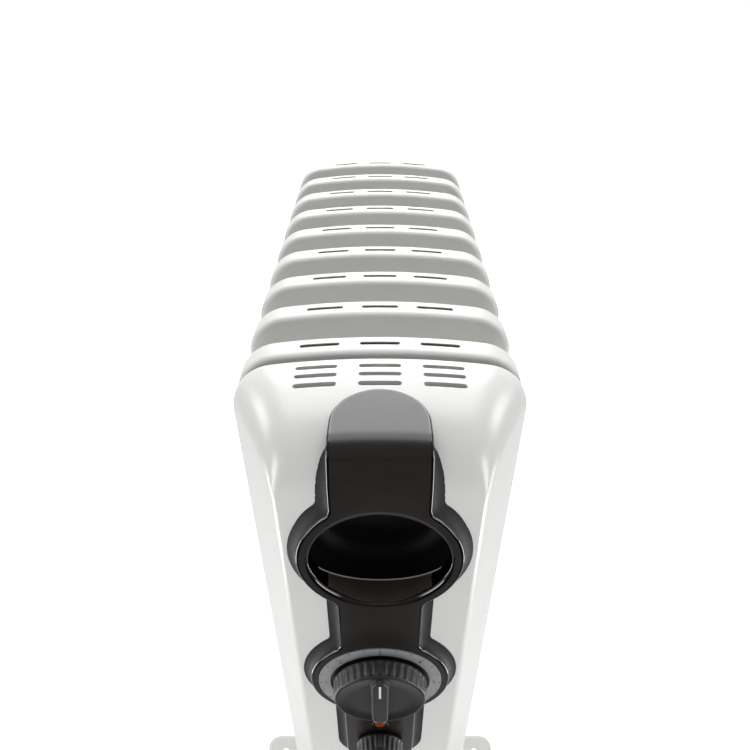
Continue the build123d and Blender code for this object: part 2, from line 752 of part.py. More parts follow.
def pilot_lens():
    """The clear amber lens of the pilot light, a plug with a domed head in the fascia."""
    with BuildPart() as lens:
        with BuildSketch(front_plane(CAP_FACE + 1)):
            with Locations((0, PILOT_Z)):
                Circle(LENS_RADIUS)
        extrude(amount=CAP_FACE + 2.5 - FASCIA_FACE)
        fillet(lens.edges().group_by(Axis.Y)[0], 1.4)
    return lens


def pilot_lamp():
    """The neon lamp behind the lens, in its holder."""
    with BuildPart() as lamp:
        with BuildSketch(front_plane(CAP_FACE + 18)):
            with Locations((0, PILOT_Z)):
                Circle(LENS_RADIUS - 0.5)
        extrude(amount=17)
    return lamp


def terminal_block():
    """The insulated block on the mounting plate where the supply cord ends."""
    with BuildPart() as block:
        with BuildSketch(front_plane(PLATE_FRONT)):
            with Locations((0, TERMINAL_Z)):
                RectangleRounded(44, 20, 2)
        extrude(amount=18)
        with BuildSketch(front_plane(PLATE_FRONT - 18)):
            with Locations((0, TERMINAL_Z)):
                with GridLocations(14, 10, 3, 2):
                    Circle(2.6)
        extrude(amount=-8, mode=Mode.SUBTRACT)
    return block


def thermal_cutout():
    """The safety cut-out that sits against the mounting plate beside the upper header."""
    with BuildPart() as cutout:
        with BuildSketch(front_plane(PLATE_FRONT)):
            with Locations((CUTOUT_X, CUTOUT_Z)):
                Circle(8)
        extrude(amount=7)
        with BuildSketch(front_plane(PLATE_FRONT)):
            with Locations((CUTOUT_X, CUTOUT_Z)):
                SlotOverall(30, 8)
        extrude(amount=1)
        with BuildSketch(front_plane(PLATE_FRONT - 7)):
            with Locations((CUTOUT_X - 4, CUTOUT_Z), (CUTOUT_X + 4, CUTOUT_Z)):
                Rectangle(0.8, 6)
        extrude(amount=8)
    return cutout


def cord_gland():
    """The bush in the cap that the supply cord enters through."""
    with BuildPart() as gland:
        with BuildSketch(front_plane(CAP_INNER_FACE + 12)):
            with Locations((0, CORD_Z)):
                Circle(GLAND_RADIUS)
        extrude(amount=CAP_INNER_FACE + 12 - CAP_FACE)
        with BuildSketch(front_plane(CAP_FACE)):
            with Locations((0, CORD_Z)):
                Circle(GLAND_RADIUS + 3)
        extrude(amount=6, taper=16)
        fillet(gland.edges().group_by(Axis.Y)[0], 1)
        with BuildSketch(front_plane(CAP_INNER_FACE)):
            with Locations((0, CORD_Z)):
                RegularPolygon(GLAND_RADIUS + 4, 6)
        extrude(amount=-6)
        with BuildSketch(front_plane(CAP_INNER_FACE + 12)):
            with Locations((0, CORD_Z)):
                Circle(CORD_BORE)
        extrude(amount=30, mode=Mode.SUBTRACT)
    return gland


def cord_winder():
    """The moulded bobbin on the cap's front that the cord is wound round for storage."""
    with BuildPart() as winder:
        with BuildSketch(front_plane(CAP_FACE)):
            with Locations((0, WINDER_Z)):
                SlotOverall(WINDER_HEIGHT, WINDER_WIDTH, rotation=90)
        extrude(amount=CAP_FACE - WINDER_BASE)
        with BuildSketch(front_plane(WINDER_BASE)):
            with Locations((0, WINDER_Z)):
                SlotOverall(HUB_HEIGHT, HUB_WIDTH, rotation=90)
        extrude(amount=WINDER_BASE - WINDER_GROOVE_FRONT)
        with BuildSketch(front_plane(WINDER_GROOVE_FRONT)):
            with Locations((0, WINDER_Z)):
                SlotOverall(WINDER_HEIGHT, WINDER_WIDTH, rotation=90)
        extrude(amount=WINDER_GROOVE_FRONT - KNOB_FRONT)
        fillet(winder.edges().group_by(Axis.Y)[0], 1.5)
        with BuildSketch(front_plane(CAP_FACE)):
            with Locations((0, WINDER_Z + WINDER_SCREW_OFFSET), (0, WINDER_Z - WINDER_SCREW_OFFSET)):
                Circle(1.8)
        extrude(amount=40, mode=Mode.SUBTRACT)
        with BuildSketch(front_plane(CAP_FACE - 4)):
            with Locations((0, WINDER_Z + WINDER_SCREW_OFFSET), (0, WINDER_Z - WINDER_SCREW_OFFSET)):
                Circle(4.2)
        extrude(amount=40, mode=Mode.SUBTRACT)
    return winder


def winder_screws():
    """Two screws sunk in the winder's hub."""
    with BuildPart() as screws:
        with BuildSketch(front_plane(CAP_INNER_FACE + 4)):
            with Locations((0, WINDER_Z + WINDER_SCREW_OFFSET), (0, WINDER_Z - WINDER_SCREW_OFFSET)):
                Circle(1.6)
        extrude(amount=CAP_INNER_FACE + 8 - CAP_FACE)
        with BuildSketch(front_plane(CAP_FACE - 4)):
            with Locations((0, WINDER_Z + WINDER_SCREW_OFFSET), (0, WINDER_Z - WINDER_SCREW_OFFSET)):
                Circle(3.4)
        extrude(amount=2.4, taper=20)
    return screws


# --- feet and castors ---------------------------------------------------------------------------------
def foot(y):
    """A folded steel channel across the heater, with a socket at each end for a castor stem."""
    with BuildPart() as bar:
        with BuildSketch(Plane.XY.offset(FOOT_BOTTOM)):
            with Locations((0, y)):
                RectangleRounded(FOOT_LENGTH, FOOT_WIDTH, 12)
        extrude(amount=FOOT_HEIGHT)
        fillet(bar.edges().group_by(Axis.Z)[-1], 4)
        with BuildSketch(Plane.XY.offset(FOOT_BOTTOM)):
            with Locations((0, y)):
                RectangleRounded(FOOT_LENGTH - 2 * FOOT_SHEET, FOOT_WIDTH - 2 * FOOT_SHEET, 10)
        extrude(amount=FOOT_HEIGHT - FOOT_SHEET, mode=Mode.SUBTRACT)
        with BuildSketch(Plane.XY.offset(FOOT_BOTTOM)):
            with Locations((-CASTOR_X, y), (CASTOR_X, y)):
                Circle(SOCKET_RADIUS)
        extrude(amount=FOOT_HEIGHT - FOOT_SHEET)
        with BuildSketch(Plane.XY.offset(FOOT_BOTTOM)):
            with Locations((-CASTOR_X, y), (CASTOR_X, y)):
                Circle(STEM_RADIUS + RUNNING)
            with Locations((-U_BOLT_RADIUS, y), (U_BOLT_RADIUS, y)):
                Circle(U_BOLT_ROD + FIT)
        extrude(amount=FOOT_HEIGHT, mode=Mode.SUBTRACT)
    return bar


def u_bolts():
    """Two U-bolts over the lower header, each with its legs down through a foot."""
    with BuildPart() as bolts:
        for y in FEET_Y:
            low = FOOT_BOTTOM + 1
            with BuildLine() as bow:
                Line((-U_BOLT_RADIUS, y, low), (-U_BOLT_RADIUS, y, LOWER_HEADER_Z))
                ThreePointArc(
                    (-U_BOLT_RADIUS, y, LOWER_HEADER_Z),
                    (0, y, LOWER_HEADER_Z + U_BOLT_RADIUS),
                    (U_BOLT_RADIUS, y, LOWER_HEADER_Z),
                )
                Line((U_BOLT_RADIUS, y, LOWER_HEADER_Z), (U_BOLT_RADIUS, y, low))
            with BuildSketch(Plane(origin=(-U_BOLT_RADIUS, y, low), z_dir=(0, 0, 1))):
                Circle(U_BOLT_ROD)
            sweep(path=bow.line)
    return bolts


def wing_nuts():
    """Four wing nuts under the feet, one on each leg of the U-bolts."""
    top = FOOT_TOP - FOOT_SHEET
    with BuildPart() as nuts:
        with BuildSketch(Plane.XY.offset(top)):
            with Locations(*[(x, y) for x in (-U_BOLT_RADIUS, U_BOLT_RADIUS) for y in FEET_Y]):
                Circle(6)
        extrude(amount=-7)
        with BuildSketch(Plane.XY.offset(top - 2)):
            with Locations(*[(x, y) for x in (-U_BOLT_RADIUS, U_BOLT_RADIUS) for y in FEET_Y]):
                SlotOverall(WING_SPAN, 2.4)
        extrude(amount=-9)
        with BuildSketch(Plane.XY.offset(top)):
            with Locations(*[(x, y) for x in (-U_BOLT_RADIUS, U_BOLT_RADIUS) for y in FEET_Y]):
                Circle(U_BOLT_ROD)
        extrude(amount=-20, mode=Mode.SUBTRACT)
    return nuts


def castor_fork(x, y):
    """The castor's fork: a crown under the foot and two cheeks that reach back to the axle."""
    inside = WHEEL_WIDTH / 2 + CHEEK_GAP
    crown_bottom = CROWN_TOP - CROWN_HEIGHT
    with BuildPart() as fork:
        with BuildSketch(Plane.XY.offset(crown_bottom)):
            with Locations((x, y)):
                Circle(CROWN_DISC)
        extrude(amount=CROWN_HEIGHT)
        fillet(fork.edges().group_by(Axis.Z)[-1], 3)
        for side in (-inside - CHEEK, inside):
            with BuildSketch(Plane.YZ.offset(x + side)) as cheek:
                with Locations((y, crown_bottom + CROWN_HEIGHT / 2)):
                    Rectangle(20, CROWN_HEIGHT)
                with Locations((y + TRAIL, WHEEL_RADIUS)):
                    Circle(8)
                make_hull()
            extrude(amount=CHEEK)
        with BuildSketch(Plane.YZ.offset(x - inside - CHEEK)):
            with Locations((y + TRAIL, WHEEL_RADIUS)):
                Circle(AXLE_RADIUS)
        extrude(amount=2 * (inside + CHEEK), mode=Mode.SUBTRACT)
        with BuildSketch(Plane.XY.offset(crown_bottom)):
            with Locations((x, y)):
                Circle(STEM_RADIUS)
        extrude(amount=CROWN_HEIGHT, mode=Mode.SUBTRACT)
    return fork


def castor_stem(x, y):
    """The steel stem pressed in the fork's crown, with the thrust collar under the foot."""
    with BuildPart() as stem:
        with BuildSketch(Plane.XY.offset(CROWN_TOP - CROWN_HEIGHT)):
            with Locations((x, y)):
                Circle(STEM_RADIUS)
        extrude(amount=FOOT_TOP - 0.5 - CROWN_TOP + CROWN_HEIGHT)
        with BuildSketch(Plane.XY.offset(CROWN_TOP)):
            with Locations((x, y)):
                Circle(SOCKET_RADIUS - 1)
        extrude(amount=FOOT_BOTTOM - 0.4 - CROWN_TOP)
    return stem


def castor_axle(x, y):
    """The axle pin through the fork's cheeks."""
    half = WHEEL_WIDTH / 2 + CHEEK_GAP + CHEEK
    with BuildPart() as axle:
        with BuildSketch(Plane.YZ.offset(x - half)):
            with Locations((y + TRAIL, WHEEL_RADIUS)):
                Circle(AXLE_RADIUS)
        extrude(amount=2 * half)
        for side, outward in ((x - half, -1.5), (x + half, 1.5)):
            with BuildSketch(Plane.YZ.offset(side)):
                with Locations((y + TRAIL, WHEEL_RADIUS)):
                    Circle(AXLE_RADIUS + 1.6)
            extrude(amount=outward)
    return axle


def castor_wheel(x, y):
    """The moulded wheel: a round tread, dished sides and a plain bore."""
    with BuildPart() as wheel:
        with BuildSketch(Plane.YZ.offset(x - WHEEL_WIDTH / 2)):
            with Locations((y + TRAIL, WHEEL_RADIUS)):
                Circle(WHEEL_RADIUS)
        extrude(amount=WHEEL_WIDTH)
        edges = wheel.edges().group_by(Axis.X)
        fillet(edges[0] + edges[-1], 4)
        for side, depth in ((x - WHEEL_WIDTH / 2, 3), (x + WHEEL_WIDTH / 2, -3)):
            with BuildSketch(Plane.YZ.offset(side)):
                with Locations((y + TRAIL, WHEEL_RADIUS)):
                    Circle(WHEEL_RADIUS - 6)
                    Circle(7, mode=Mode.SUBTRACT)
            extrude(amount=depth, mode=Mode.SUBTRACT)
        with BuildSketch(Plane.YZ.offset(x - WHEEL_WIDTH / 2)):
            with Locations((y + TRAIL, WHEEL_RADIUS)):
                Circle(AXLE_RADIUS + RUNNING)
        extrude(amount=WHEEL_WIDTH, mode=Mode.SUBTRACT)
    return wheel


# --- write every piece --------------------------------------------------------------------------------
for number in range(1, FIN_COUNT + 1):
    save(fin(number), f"fin_{number}")

save(header(UPPER_HEADER_Z, UPPER_HEADER_RADIUS, UPPER_FRONT, False), "upper_header")
save(header(LOWER_HEADER_Z, LOWER_HEADER_RADIUS, FLANGE_FRONT, True), "lower_header")
save(header_plugs(UPPER_FRONT), "header_plugs")
save(oil_core(), "oil_core")
save(heating_element(), "heating_element")
save(element_gasket(), "element_gasket")
save(element_bolts(), "element_bolts")
save(mounting_plate(), "mounting_plate")
save(heat_shield(), "heat_shield")

outer_nose = cap_solid(0)
inner_nose = cap_solid(CAP_WALL)
save(front_cap(outer_nose, inner_nose), "front_cap")
save(cap_screws(), "cap_screws")
save(fascia(outer_nose), "fascia")
save(fascia_screws(), "fascia_screws")
save(hand_pocket(), "hand_pocket")

save(control_body(DIAL_Z, THERMOSTAT_SIZE), "thermostat_body")
save(control_shaft(DIAL_Z), "thermostat_shaft")
save(knob(DIAL_Z, DIAL_RADIUS, 36), "thermostat_knob")
save(thermostat_ring(), "thermostat_ring")
save(control_body(SELECTOR_Z, SWITCH_SIZE), "selector_switch")
save(control_shaft(SELECTOR_Z), "selector_shaft")
save(knob(SELECTOR_Z, SELECTOR_RADIUS, 24), "selector_knob")
save(pilot_lens(), "pilot_lens")
save(pilot_lamp(), "pilot_lamp")
save(terminal_block(), "terminal_block")
save(thermal_cutout(), "thermal_cutout")
save(cord_gland(), "cord_gland")
save(cord_winder(), "cord_winder")
save(winder_screws(), "winder_screws")

save(foot(FRONT_FOOT_Y), "foot_front")
save(foot(REAR_FOOT_Y), "foot_rear")
save(u_bolts(), "u_bolts")
save(wing_nuts(), "wing_nuts")
for corner, (castor_x, castor_y) in CASTORS.items():
    save(castor_fork(castor_x, castor_y), f"castor_fork_{corner}")
    save(castor_stem(castor_x, castor_y), f"castor_stem_{corner}")
    save(castor_axle(castor_x, castor_y), f"castor_axle_{corner}")
    save(castor_wheel(castor_x, castor_y), f"castor_wheel_{corner}")
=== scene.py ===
"""The looks of an oil filled radiator heater: enamelled steel fins, a glossy white control end, a satin
dark fascia with a round hand grip, its controls, feet and castors, around the frame that the CAD gives.

Lengths are in millimetres until a mesh is made, and X, Y and Z are the heater's own: the control end faces
-Y, and Z is up from the floor."""

import math

import bmesh
import bpy
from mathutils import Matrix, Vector
from mathutils.geometry import delaunay_2d_cdt


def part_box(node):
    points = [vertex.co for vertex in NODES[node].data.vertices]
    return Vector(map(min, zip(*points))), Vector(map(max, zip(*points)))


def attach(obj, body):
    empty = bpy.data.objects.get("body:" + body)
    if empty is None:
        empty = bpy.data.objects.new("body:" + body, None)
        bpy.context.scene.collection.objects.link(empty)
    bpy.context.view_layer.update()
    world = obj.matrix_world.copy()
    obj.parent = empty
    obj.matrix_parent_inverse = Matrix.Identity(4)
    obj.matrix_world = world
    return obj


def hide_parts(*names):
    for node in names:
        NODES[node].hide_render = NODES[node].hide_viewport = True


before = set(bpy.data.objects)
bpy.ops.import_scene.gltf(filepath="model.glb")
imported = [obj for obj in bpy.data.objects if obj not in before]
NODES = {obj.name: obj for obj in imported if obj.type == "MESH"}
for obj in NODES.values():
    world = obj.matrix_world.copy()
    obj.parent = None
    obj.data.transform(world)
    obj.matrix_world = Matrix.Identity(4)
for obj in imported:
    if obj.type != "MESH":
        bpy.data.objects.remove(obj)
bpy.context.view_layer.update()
MM = 0.001


def span(node):
    """A node's lowest and highest corners, in millimetres."""
    low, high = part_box(node)
    return low / MM, high / MM


# --- sizes that follow the frame ----------------------------------------------------------------------
FIN_LOW, FIN_HIGH = span("fin_1")
LAST_LOW, _ = span("fin_9")
CAP_LOW, CAP_HIGH = span("front_cap")
FASCIA_LOW, FASCIA_HIGH = span("fascia")
RIB = 1.0
TOP = FIN_HIGH.z
HALF_WIDTH = FIN_HIGH.x
FIN_BOTTOM = FIN_LOW.z
FIN_FRONT = FIN_LOW.y + RIB
FIN_THICKNESS = FIN_HIGH.y - FIN_LOW.y - 2 * RIB
FIN_COUNT = 9
FIN_PITCH = (LAST_LOW.y - FIN_LOW.y) / (FIN_COUNT - 1)
CAP_BACK = CAP_HIGH.y
CAP_BOTTOM = CAP_LOW.z
FASCIA_FACE = FASCIA_LOW.y
APEX_Y = FASCIA_HIGH.y
STRIP_TOP = FASCIA_HIGH.z

# --- sizes of the finish ------------------------------------------------------------------------------
CROWN_RADIUS = 430.0
SHOULDER_RADIUS = 25.5
FIN_CORNER = 18.0
FIN_EDGE = 2.8
FIN_SHEET = 0.7
RIB_SPACING = 46.0
RIB_WIDTH = 15.0
RIB_BELOW = 103.0
RIB_ABOVE = 123.0
SLOT_LENGTH = 22.0
SLOT_SPACING = 33.0
OUTLET_WIDTH = 2.8
INLET_LENGTH = 34.0
INLET_WIDTH = 8.0
INLET_SPACING = 44.0

CAP_SKIRT = 6.0
CAP_DEPTH = 59.0
CAP_DROP = 44.0
CAP_POWER = 2.3
CAP_NOSE_HALF = 52.5
CAP_NOSE_SHOULDER = 4.0
CAP_CORNER = 6.0
CAP_WALL = 2.5
CAP_FACE = CAP_BACK - CAP_DEPTH
CAP_EDGE = 4.0
GRILLE_WIDTH = 3.0
GRILLE_ROWS = (6.5, 13.4, 20.3)
VENT_LENGTH = 28.0
VENT_WIDTH = 5.0
VENT_SPACING = 34.0
VENT_ROWS = (14, 26, 38)

STRIP_HALF = 24.0
BEND_RADIUS = 9.0
LOBE_RADIUS = 44.0
NECK_RADIUS = 8.0
FOOT_NECK = 5.0
FASCIA_EDGE = 1.1
LIP_RISE = 0.35
STRIP_TAPER = 0.05
STRIP_FLARE = 9.0
LOBE_FLARE = 7.0
GRIP_Z = TOP - 84.5
GRIP_RADIUS = 37.3
GRIP_COUNT = 120
GRIP_BACK = -160.0
BOWL_HALF = 42.0
BOWL_RISE = 16.0
BOWL_EDGE = 10.0
LEDGE_TURN = 66.0
# faces within this many degrees of the grip's lowest point take the tunnel's painted light
LEDGE_PAINTED_LIGHT = 50.0
POLISH_TURN = 100.0
DIAL_Z = TOP - 205
TICK_RADIUS = 37.6
NUMBER_RADIUS = 34.4
NUMBER_HEIGHT = 4.6
SCALE_START = -135
FASCIA_END_Z = TOP - 302

# --- light levels: a surface seen full on, where 1 is white ---------------------------------------------
FLOOR_GLOW = 0.6
DOME_HIGH = 0.5
FRONT_HIGH = 0.6
FRONT_HORIZON = 0.26
FRONT_LOW = 0.03
BACK_LIGHT = 6.0
TOP_LIGHT = 3.3
SIDE_LIGHT = 6.0
RIM_LIGHT = 9.0
EDGE_LIGHT = 9.0
FRONT_LIGHT = 4.2


# --- camera -------------------------------------------------------------------------------------------
CAMERA_PLACE = (0.0, -0.394, 0.8196)
CAMERA_TILT = math.radians(90 - 36.25)
CAMERA_LENS = 28.84
CAMERA_SHIFT_X = -0.00667


def make_camera():
    """A wide lens just above the control end, looking down along the fins."""
    data = bpy.data.cameras.new("camera")
    data.lens = CAMERA_LENS
    data.sensor_width = 36
    data.shift_x = CAMERA_SHIFT_X
    data.clip_start = 0.01
    camera = bpy.data.objects.new("camera", data)
    camera.location = CAMERA_PLACE
    camera.rotation_euler = (CAMERA_TILT, 0, 0)
    bpy.context.scene.collection.objects.link(camera)
    bpy.context.scene.camera = camera


make_camera()


# --- materials ----------------------------------------------------------------------------------------
def linear(hex_colour):
    """A linear RGBA colour from an sRGB hex value."""
    channels = [int(hex_colour[i : i + 2], 16) / 255 for i in (1, 3, 5)]
    return (*[c / 12.92 if c <= 0.04045 else ((c + 0.055) / 1.055) ** 2.4 for c in channels], 1.0)


def add_node(tree, kind, sockets=None, **settings):
    """Adds a node, sets its properties, and fills its sockets with values or with links."""
    node = tree.nodes.new(kind)
    for key, value in settings.items():
        setattr(node, key, value)
    for key, value in (sockets or {}).items():
        if isinstance(value, bpy.types.NodeSocket):
            tree.links.new(value, node.inputs[key])
        else:
            node.inputs[key].default_value = value
    return node


def finish(name, shades, shade_mm, roughness, grain_mm, grain_height_mm, **sockets):
    """A Principled surface whose shade and roughness drift slowly and whose bump is a fine grain.

    shades and roughness are (low, high) pairs, and the sizes are real ones in millimetres."""
    material = bpy.data.materials.new(name)
    material.use_nodes = True
    tree = material.node_tree
    shader = tree.nodes["Principled BSDF"]
    place = add_node(tree, "ShaderNodeTexCoord").outputs["Object"]
    drift = add_node(
        tree, "ShaderNodeTexNoise", {"Vector": place, "Scale": 1000 / shade_mm, "Detail": 4.0}
    ).outputs["Fac"]
    shade = add_node(tree, "ShaderNodeValToRGB", {"Fac": drift})
    for stop, colour in zip(shade.color_ramp.elements, shades):
        stop.color = linear(colour)
    shade.color_ramp.interpolation = "EASE"
    shade.color_ramp.elements[0].position = 0.2
    shade.color_ramp.elements[1].position = 0.8
    dull = add_node(
        tree,
        "ShaderNodeMapRange",
        {"Value": drift, "From Min": 0.2, "From Max": 0.8, "To Min": roughness[0], "To Max": roughness[1]},
        interpolation_type="SMOOTHSTEP",
    )
    grain = add_node(
        tree, "ShaderNodeTexNoise", {"Vector": place, "Scale": 1000 / grain_mm, "Detail": 3.0}
    ).outputs["Fac"]
    bump = add_node(
        tree, "ShaderNodeBump", {"Height": grain, "Distance": grain_height_mm * MM, "Strength": 1.0}
    )
    tree.links.new(shade.outputs["Color"], shader.inputs["Base Color"])
    tree.links.new(dull.outputs["Result"], shader.inputs["Roughness"])
    tree.links.new(bump.outputs["Normal"], shader.inputs["Normal"])
    for key, value in sockets.items():
        shader.inputs[key.replace("_", " ")].default_value = value
    return material


# Powder-coated steel sheet: a white satin gloss with the faint orange peel of a baked coat.
enamel = finish(
    "powder_coat_white",
    ("#e6e6e3", "#e8e8e5"),
    4,
    (0.4, 0.46),
    2.2,
    0.008,
    IOR=1.5,
    Specular_IOR_Level=0.32,
)
# Injection-moulded ABS from a polished tool: brighter and smoother than the fins, with soft flow shading.
white_abs = finish(
    "abs_gloss_white",
    ("#eaeae8", "#ebebe9"),
    60,
    (0.25, 0.27),
    5.0,
    0.002,
    IOR=1.53,
    Specular_IOR_Level=0.4,
)
# Injection-moulded ABS from a spark-eroded tool: near black, with a satin sheen that lifts at low angles.
dark_abs = finish("abs_satin_graphite", ("#191412", "#1c1714"), 10, (0.34, 0.38), 0.6, 0.001, IOR=1.5)
# The same ABS on the flanks of the fascia, from a coarser spark finish that hardly shines at all, and
# coloured darker than the face as painted shade on the flanks.
flank_painted_shade_abs = finish(
    "abs_matt_graphite_painted_shade", ("#0e0c0d", "#110f10"), 30, (0.6, 0.66), 0.6, 0.003, Specular_IOR_Level=0.25
)
# Unpainted graphite ABS of the grip's tunnel, duller than the face. Its lighter, browner colour is painted
# light for the light that falls on the lower ledge.
tunnel_painted_light_abs = finish("abs_umber_painted_light", ("#4c4540", "#544c46"), 20, (0.34, 0.42), 0.5, 0.002, IOR=1.53)
# Polished black ABS: almost a mirror, so it shows only what it reflects.
black_abs = finish("abs_polished_black", ("#060505", "#080707"), 30, (0.08, 0.11), 6.0, 0.001, IOR=1.53)
# The inside of the bowl, where the polish stops: black with a blurred sheen.
bowl_abs = finish(
    "abs_bowl_black", ("#1d1b1b", "#211e1e"), 12, (0.55, 0.6), 2.0, 0.002, Specular_IOR_Level=0.15
)
# Soft-touch lacquer over the knobs: darker and flatter than the fascia.
knob_abs = finish("soft_touch_black", ("#171718", "#1b1b1c"), 12, (0.42, 0.48), 0.4, 0.004, IOR=1.5)
# Glass-filled nylon of the castors and winder: a dull black with a coarser mould texture.
nylon = finish("nylon_black", ("#161616", "#1d1d1d"), 9, (0.45, 0.58), 0.8, 0.01, IOR=1.53)
# Bright zinc plate on the screws, bolts and axles: a greyish metal with a slightly uneven polish.
zinc = finish("zinc_plate", ("#b4b6b6", "#c8c9c6"), 4, (0.26, 0.38), 0.6, 0.003, Metallic=1.0)
# Cold-rolled sheet inside: a duller steel with rolling marks.
steel = finish("cold_rolled_steel", ("#8d8f8f", "#a3a4a2"), 8, (0.34, 0.5), 0.5, 0.004, Metallic=1.0)
# Pad-printed silver ring behind the dial.
silver_ink = finish("silver_print", ("#8f9194", "#9a9c9f"), 10, (0.34, 0.4), 0.5, 0.002, IOR=1.5)
# White pad-printing ink of the scale and the pointers.
white_ink = finish("white_print", ("#e8e8e6", "#efefed"), 6, (0.38, 0.44), 0.4, 0.001, IOR=1.5)
# Clear amber acrylic of the pilot lens.
amber = finish(
    "amber_acrylic", ("#c65a10", "#d06414"), 3, (0.05, 0.08), 2.0, 0.001, IOR=1.49, Transmission_Weight=0.6
)
# Moulded rubber of the cord bush.
rubber = finish("rubber_black", ("#131313", "#191919"), 5, (0.6, 0.7), 0.7, 0.01, IOR=1.52)

CAD_FINISHES = {
    enamel: ("upper_header", "lower_header", "header_plugs", "foot_"),
    steel: ("oil_core", "heating_element", "mounting_plate", "heat_shield", "thermal_cutout"),
    zinc: ("element_bolts", "cap_screws", "fascia_screws", "winder_screws", "u_bolts", "wing_nuts",
           "castor_stem", "castor_axle", "thermostat_shaft", "selector_shaft"),
    rubber: ("cord_gland", "element_gasket"),
    nylon: ("cord_winder", "castor_fork"),
    knob_abs: ("thermostat_body", "selector_switch", "terminal_block", "pilot_lamp"),
    amber: ("pilot_lens",),
    silver_ink: ("thermostat_ring",),
}
for material, starts in CAD_FINISHES.items():
    for name, node in NODES.items():
        if name.startswith(starts):
            node.data.materials.clear()
            node.data.materials.append(material)


# --- mesh helpers -------------------------------------------------------------------------------------
def make_mesh(name, points, faces, material, sharp=35.0):
    """A mesh object from points in millimetres, shaded smooth except over edges sharper than this angle."""
    mesh = bpy.data.meshes.new(name)
    mesh.from_pydata([Vector(p) * MM for p in points], [], faces)
    mesh.materials.append(material)
    mesh.validate()
    mesh.shade_smooth()
    mesh.set_sharp_from_angle(angle=math.radians(sharp))
    piece = bpy.data.objects.new(name, mesh)
    bpy.context.scene.collection.objects.link(piece)
    return piece


def settle(piece, sharp=35.0):
    """Turns a piece and its modifiers into one plain mesh."""
    graph = bpy.context.evaluated_depsgraph_get()
    mesh = bpy.data.meshes.new_from_object(piece.evaluated_get(graph))
    piece.modifiers.clear()
    piece.data = mesh
    mesh.shade_smooth()
    mesh.set_sharp_from_angle(angle=math.radians(sharp))
    return piece


def drop(piece):
    """Removes a helper object."""
    bpy.data.objects.remove(piece, do_unlink=True)


def lofted(rings, close_start=True, close_end=True, first=0):
    """Faces between rings of equal length, with the ends filled, for points listed ring after ring."""
    count = len(rings[0])
    faces = []
    for k in range(len(rings) - 1):
        a = first + k * count
        for i in range(count):
            j = (i + 1) % count
            faces.append((a + i, a + j, a + count + j, a + count + i))
    if close_start:
        faces.append(tuple(first + i for i in reversed(range(count))))
    if close_end:
        last = first + (len(rings) - 1) * count
        faces.append(tuple(last + i for i in range(count)))
    return faces


def loft_piece(name, rings, material, sharp=35.0, **ends):
    """One piece from a stack of rings."""
    return make_mesh(name, [p for ring in rings for p in ring], lofted(rings, **ends), material, sharp)


def arc(centre, radius, start, end, steps):
    """Points on an arc, from one angle to another in degrees, both ends included."""
    angles = [math.radians(start + (end - start) * i / steps) for i in range(steps + 1)]
    return [(centre[0] + radius * math.cos(a), centre[1] + radius * math.sin(a)) for a in angles]


def slot_ring(centre, width, height, steps=16):
    """An upright or level slot outline, clockwise or not as the two sizes fall."""
    radius = min(width, height) / 2
    reach = max(width, height) / 2 - radius
    if height >= width:
        top = arc((centre[0], centre[1] + reach), radius, 0, 180, steps)
        return top + arc((centre[0], centre[1] - reach), radius, 180, 360, steps)
    right = arc((centre[0] + reach, centre[1]), radius, -90, 90, steps)
    return right + arc((centre[0] - reach, centre[1]), radius, 90, 270, steps)


def cut(piece, cutters, sharp=35.0):
    """Takes the cutters away from the piece."""
    for cutter in cutters:
        tool = piece.modifiers.new("cut", "BOOLEAN")
        tool.operation = "DIFFERENCE"
        tool.solver = "EXACT"
        tool.object = cutter
    settle(piece, sharp)
    for cutter in cutters:
        drop(cutter)


def upright_cutter(outline, low, high):
    """A cutter with this XY outline between two heights."""
    rings = [[(x, y, z) for x, y in outline] for z in (low, high)]
    return loft_piece("cutter", rings, enamel)


def level_cutter(outline, front, back):
    """A cutter with this XZ outline between two depths."""
    rings = [[(x, y, z) for x, z in outline] for y in (back, front)]
    return loft_piece("cutter", rings, enamel)


def smooth_step(value, low, high):
    """0 below low, 1 above high and a smooth rise between them."""
    t = min(max((value - low) / (high - low), 0.0), 1.0)
    return t * t * (3 - 2 * t)


def stands_for(piece, slot, body, *nodes):
    """Puts a finished piece on its body, in place of its CAD nodes."""
    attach(piece, body)
    if nodes:
        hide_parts(*nodes)


# --- the outline that fins and cap share --------------------------------------------------------------
def body_ring(half_width, top, bottom, shoulder, corner, crown=CROWN_RADIUS):
    """The crowned outline, anticlockwise from the middle of the crown, always with the same count."""
    centre = top - crown
    shoulder_x = half_width - shoulder
    shoulder_z = centre + math.sqrt((crown - shoulder) ** 2 - shoulder_x**2)
    lean = math.degrees(math.atan2(shoulder_x, shoulder_z - centre))
    side = [(half_width, shoulder_z + (bottom + corner - shoulder_z) * i / 8) for i in range(1, 8)]
    right = arc((0, centre), crown, 90, 90 - lean, 14)
    right += arc((shoulder_x, shoulder_z), shoulder, 90 - lean, 0, 12)[1:] + side
    right += arc((half_width - corner, bottom + corner), corner, 0, -90, 8)
    right += [((half_width - corner) * (1 - i / 4), bottom) for i in range(1, 5)]
    left = [(-x, z) for x, z in reversed(right[1:-1])]
    return list(reversed(right + left))


# --- fins ---------------------------------------------------------------------------------------------
def filled(outer, holes, depth, first, extra=()):
    """Faces that fill a flat outline around its holes. Points are (a, b) pairs, and depth places them."""
    loops = [outer, *holes]
    flat = [Vector(p) for loop in loops for p in loop] + [Vector(p) for p in extra]
    edges = []
    start = 0
    for loop in loops:
        edges += [(start + i, start + (i + 1) % len(loop)) for i in range(len(loop))]
        start += len(loop)
    points, _, faces, *_ = delaunay_2d_cdt(flat, edges, [], 1, 1e-6)
    kept = []
    for face in faces:
        middle = sum((points[i] for i in face), Vector((0, 0))) / len(face)
        if inside(middle, outer) and not any(inside(middle, hole) for hole in holes):
            kept.append(tuple(first + i for i in face))
    return [depth(p) for p in points], kept


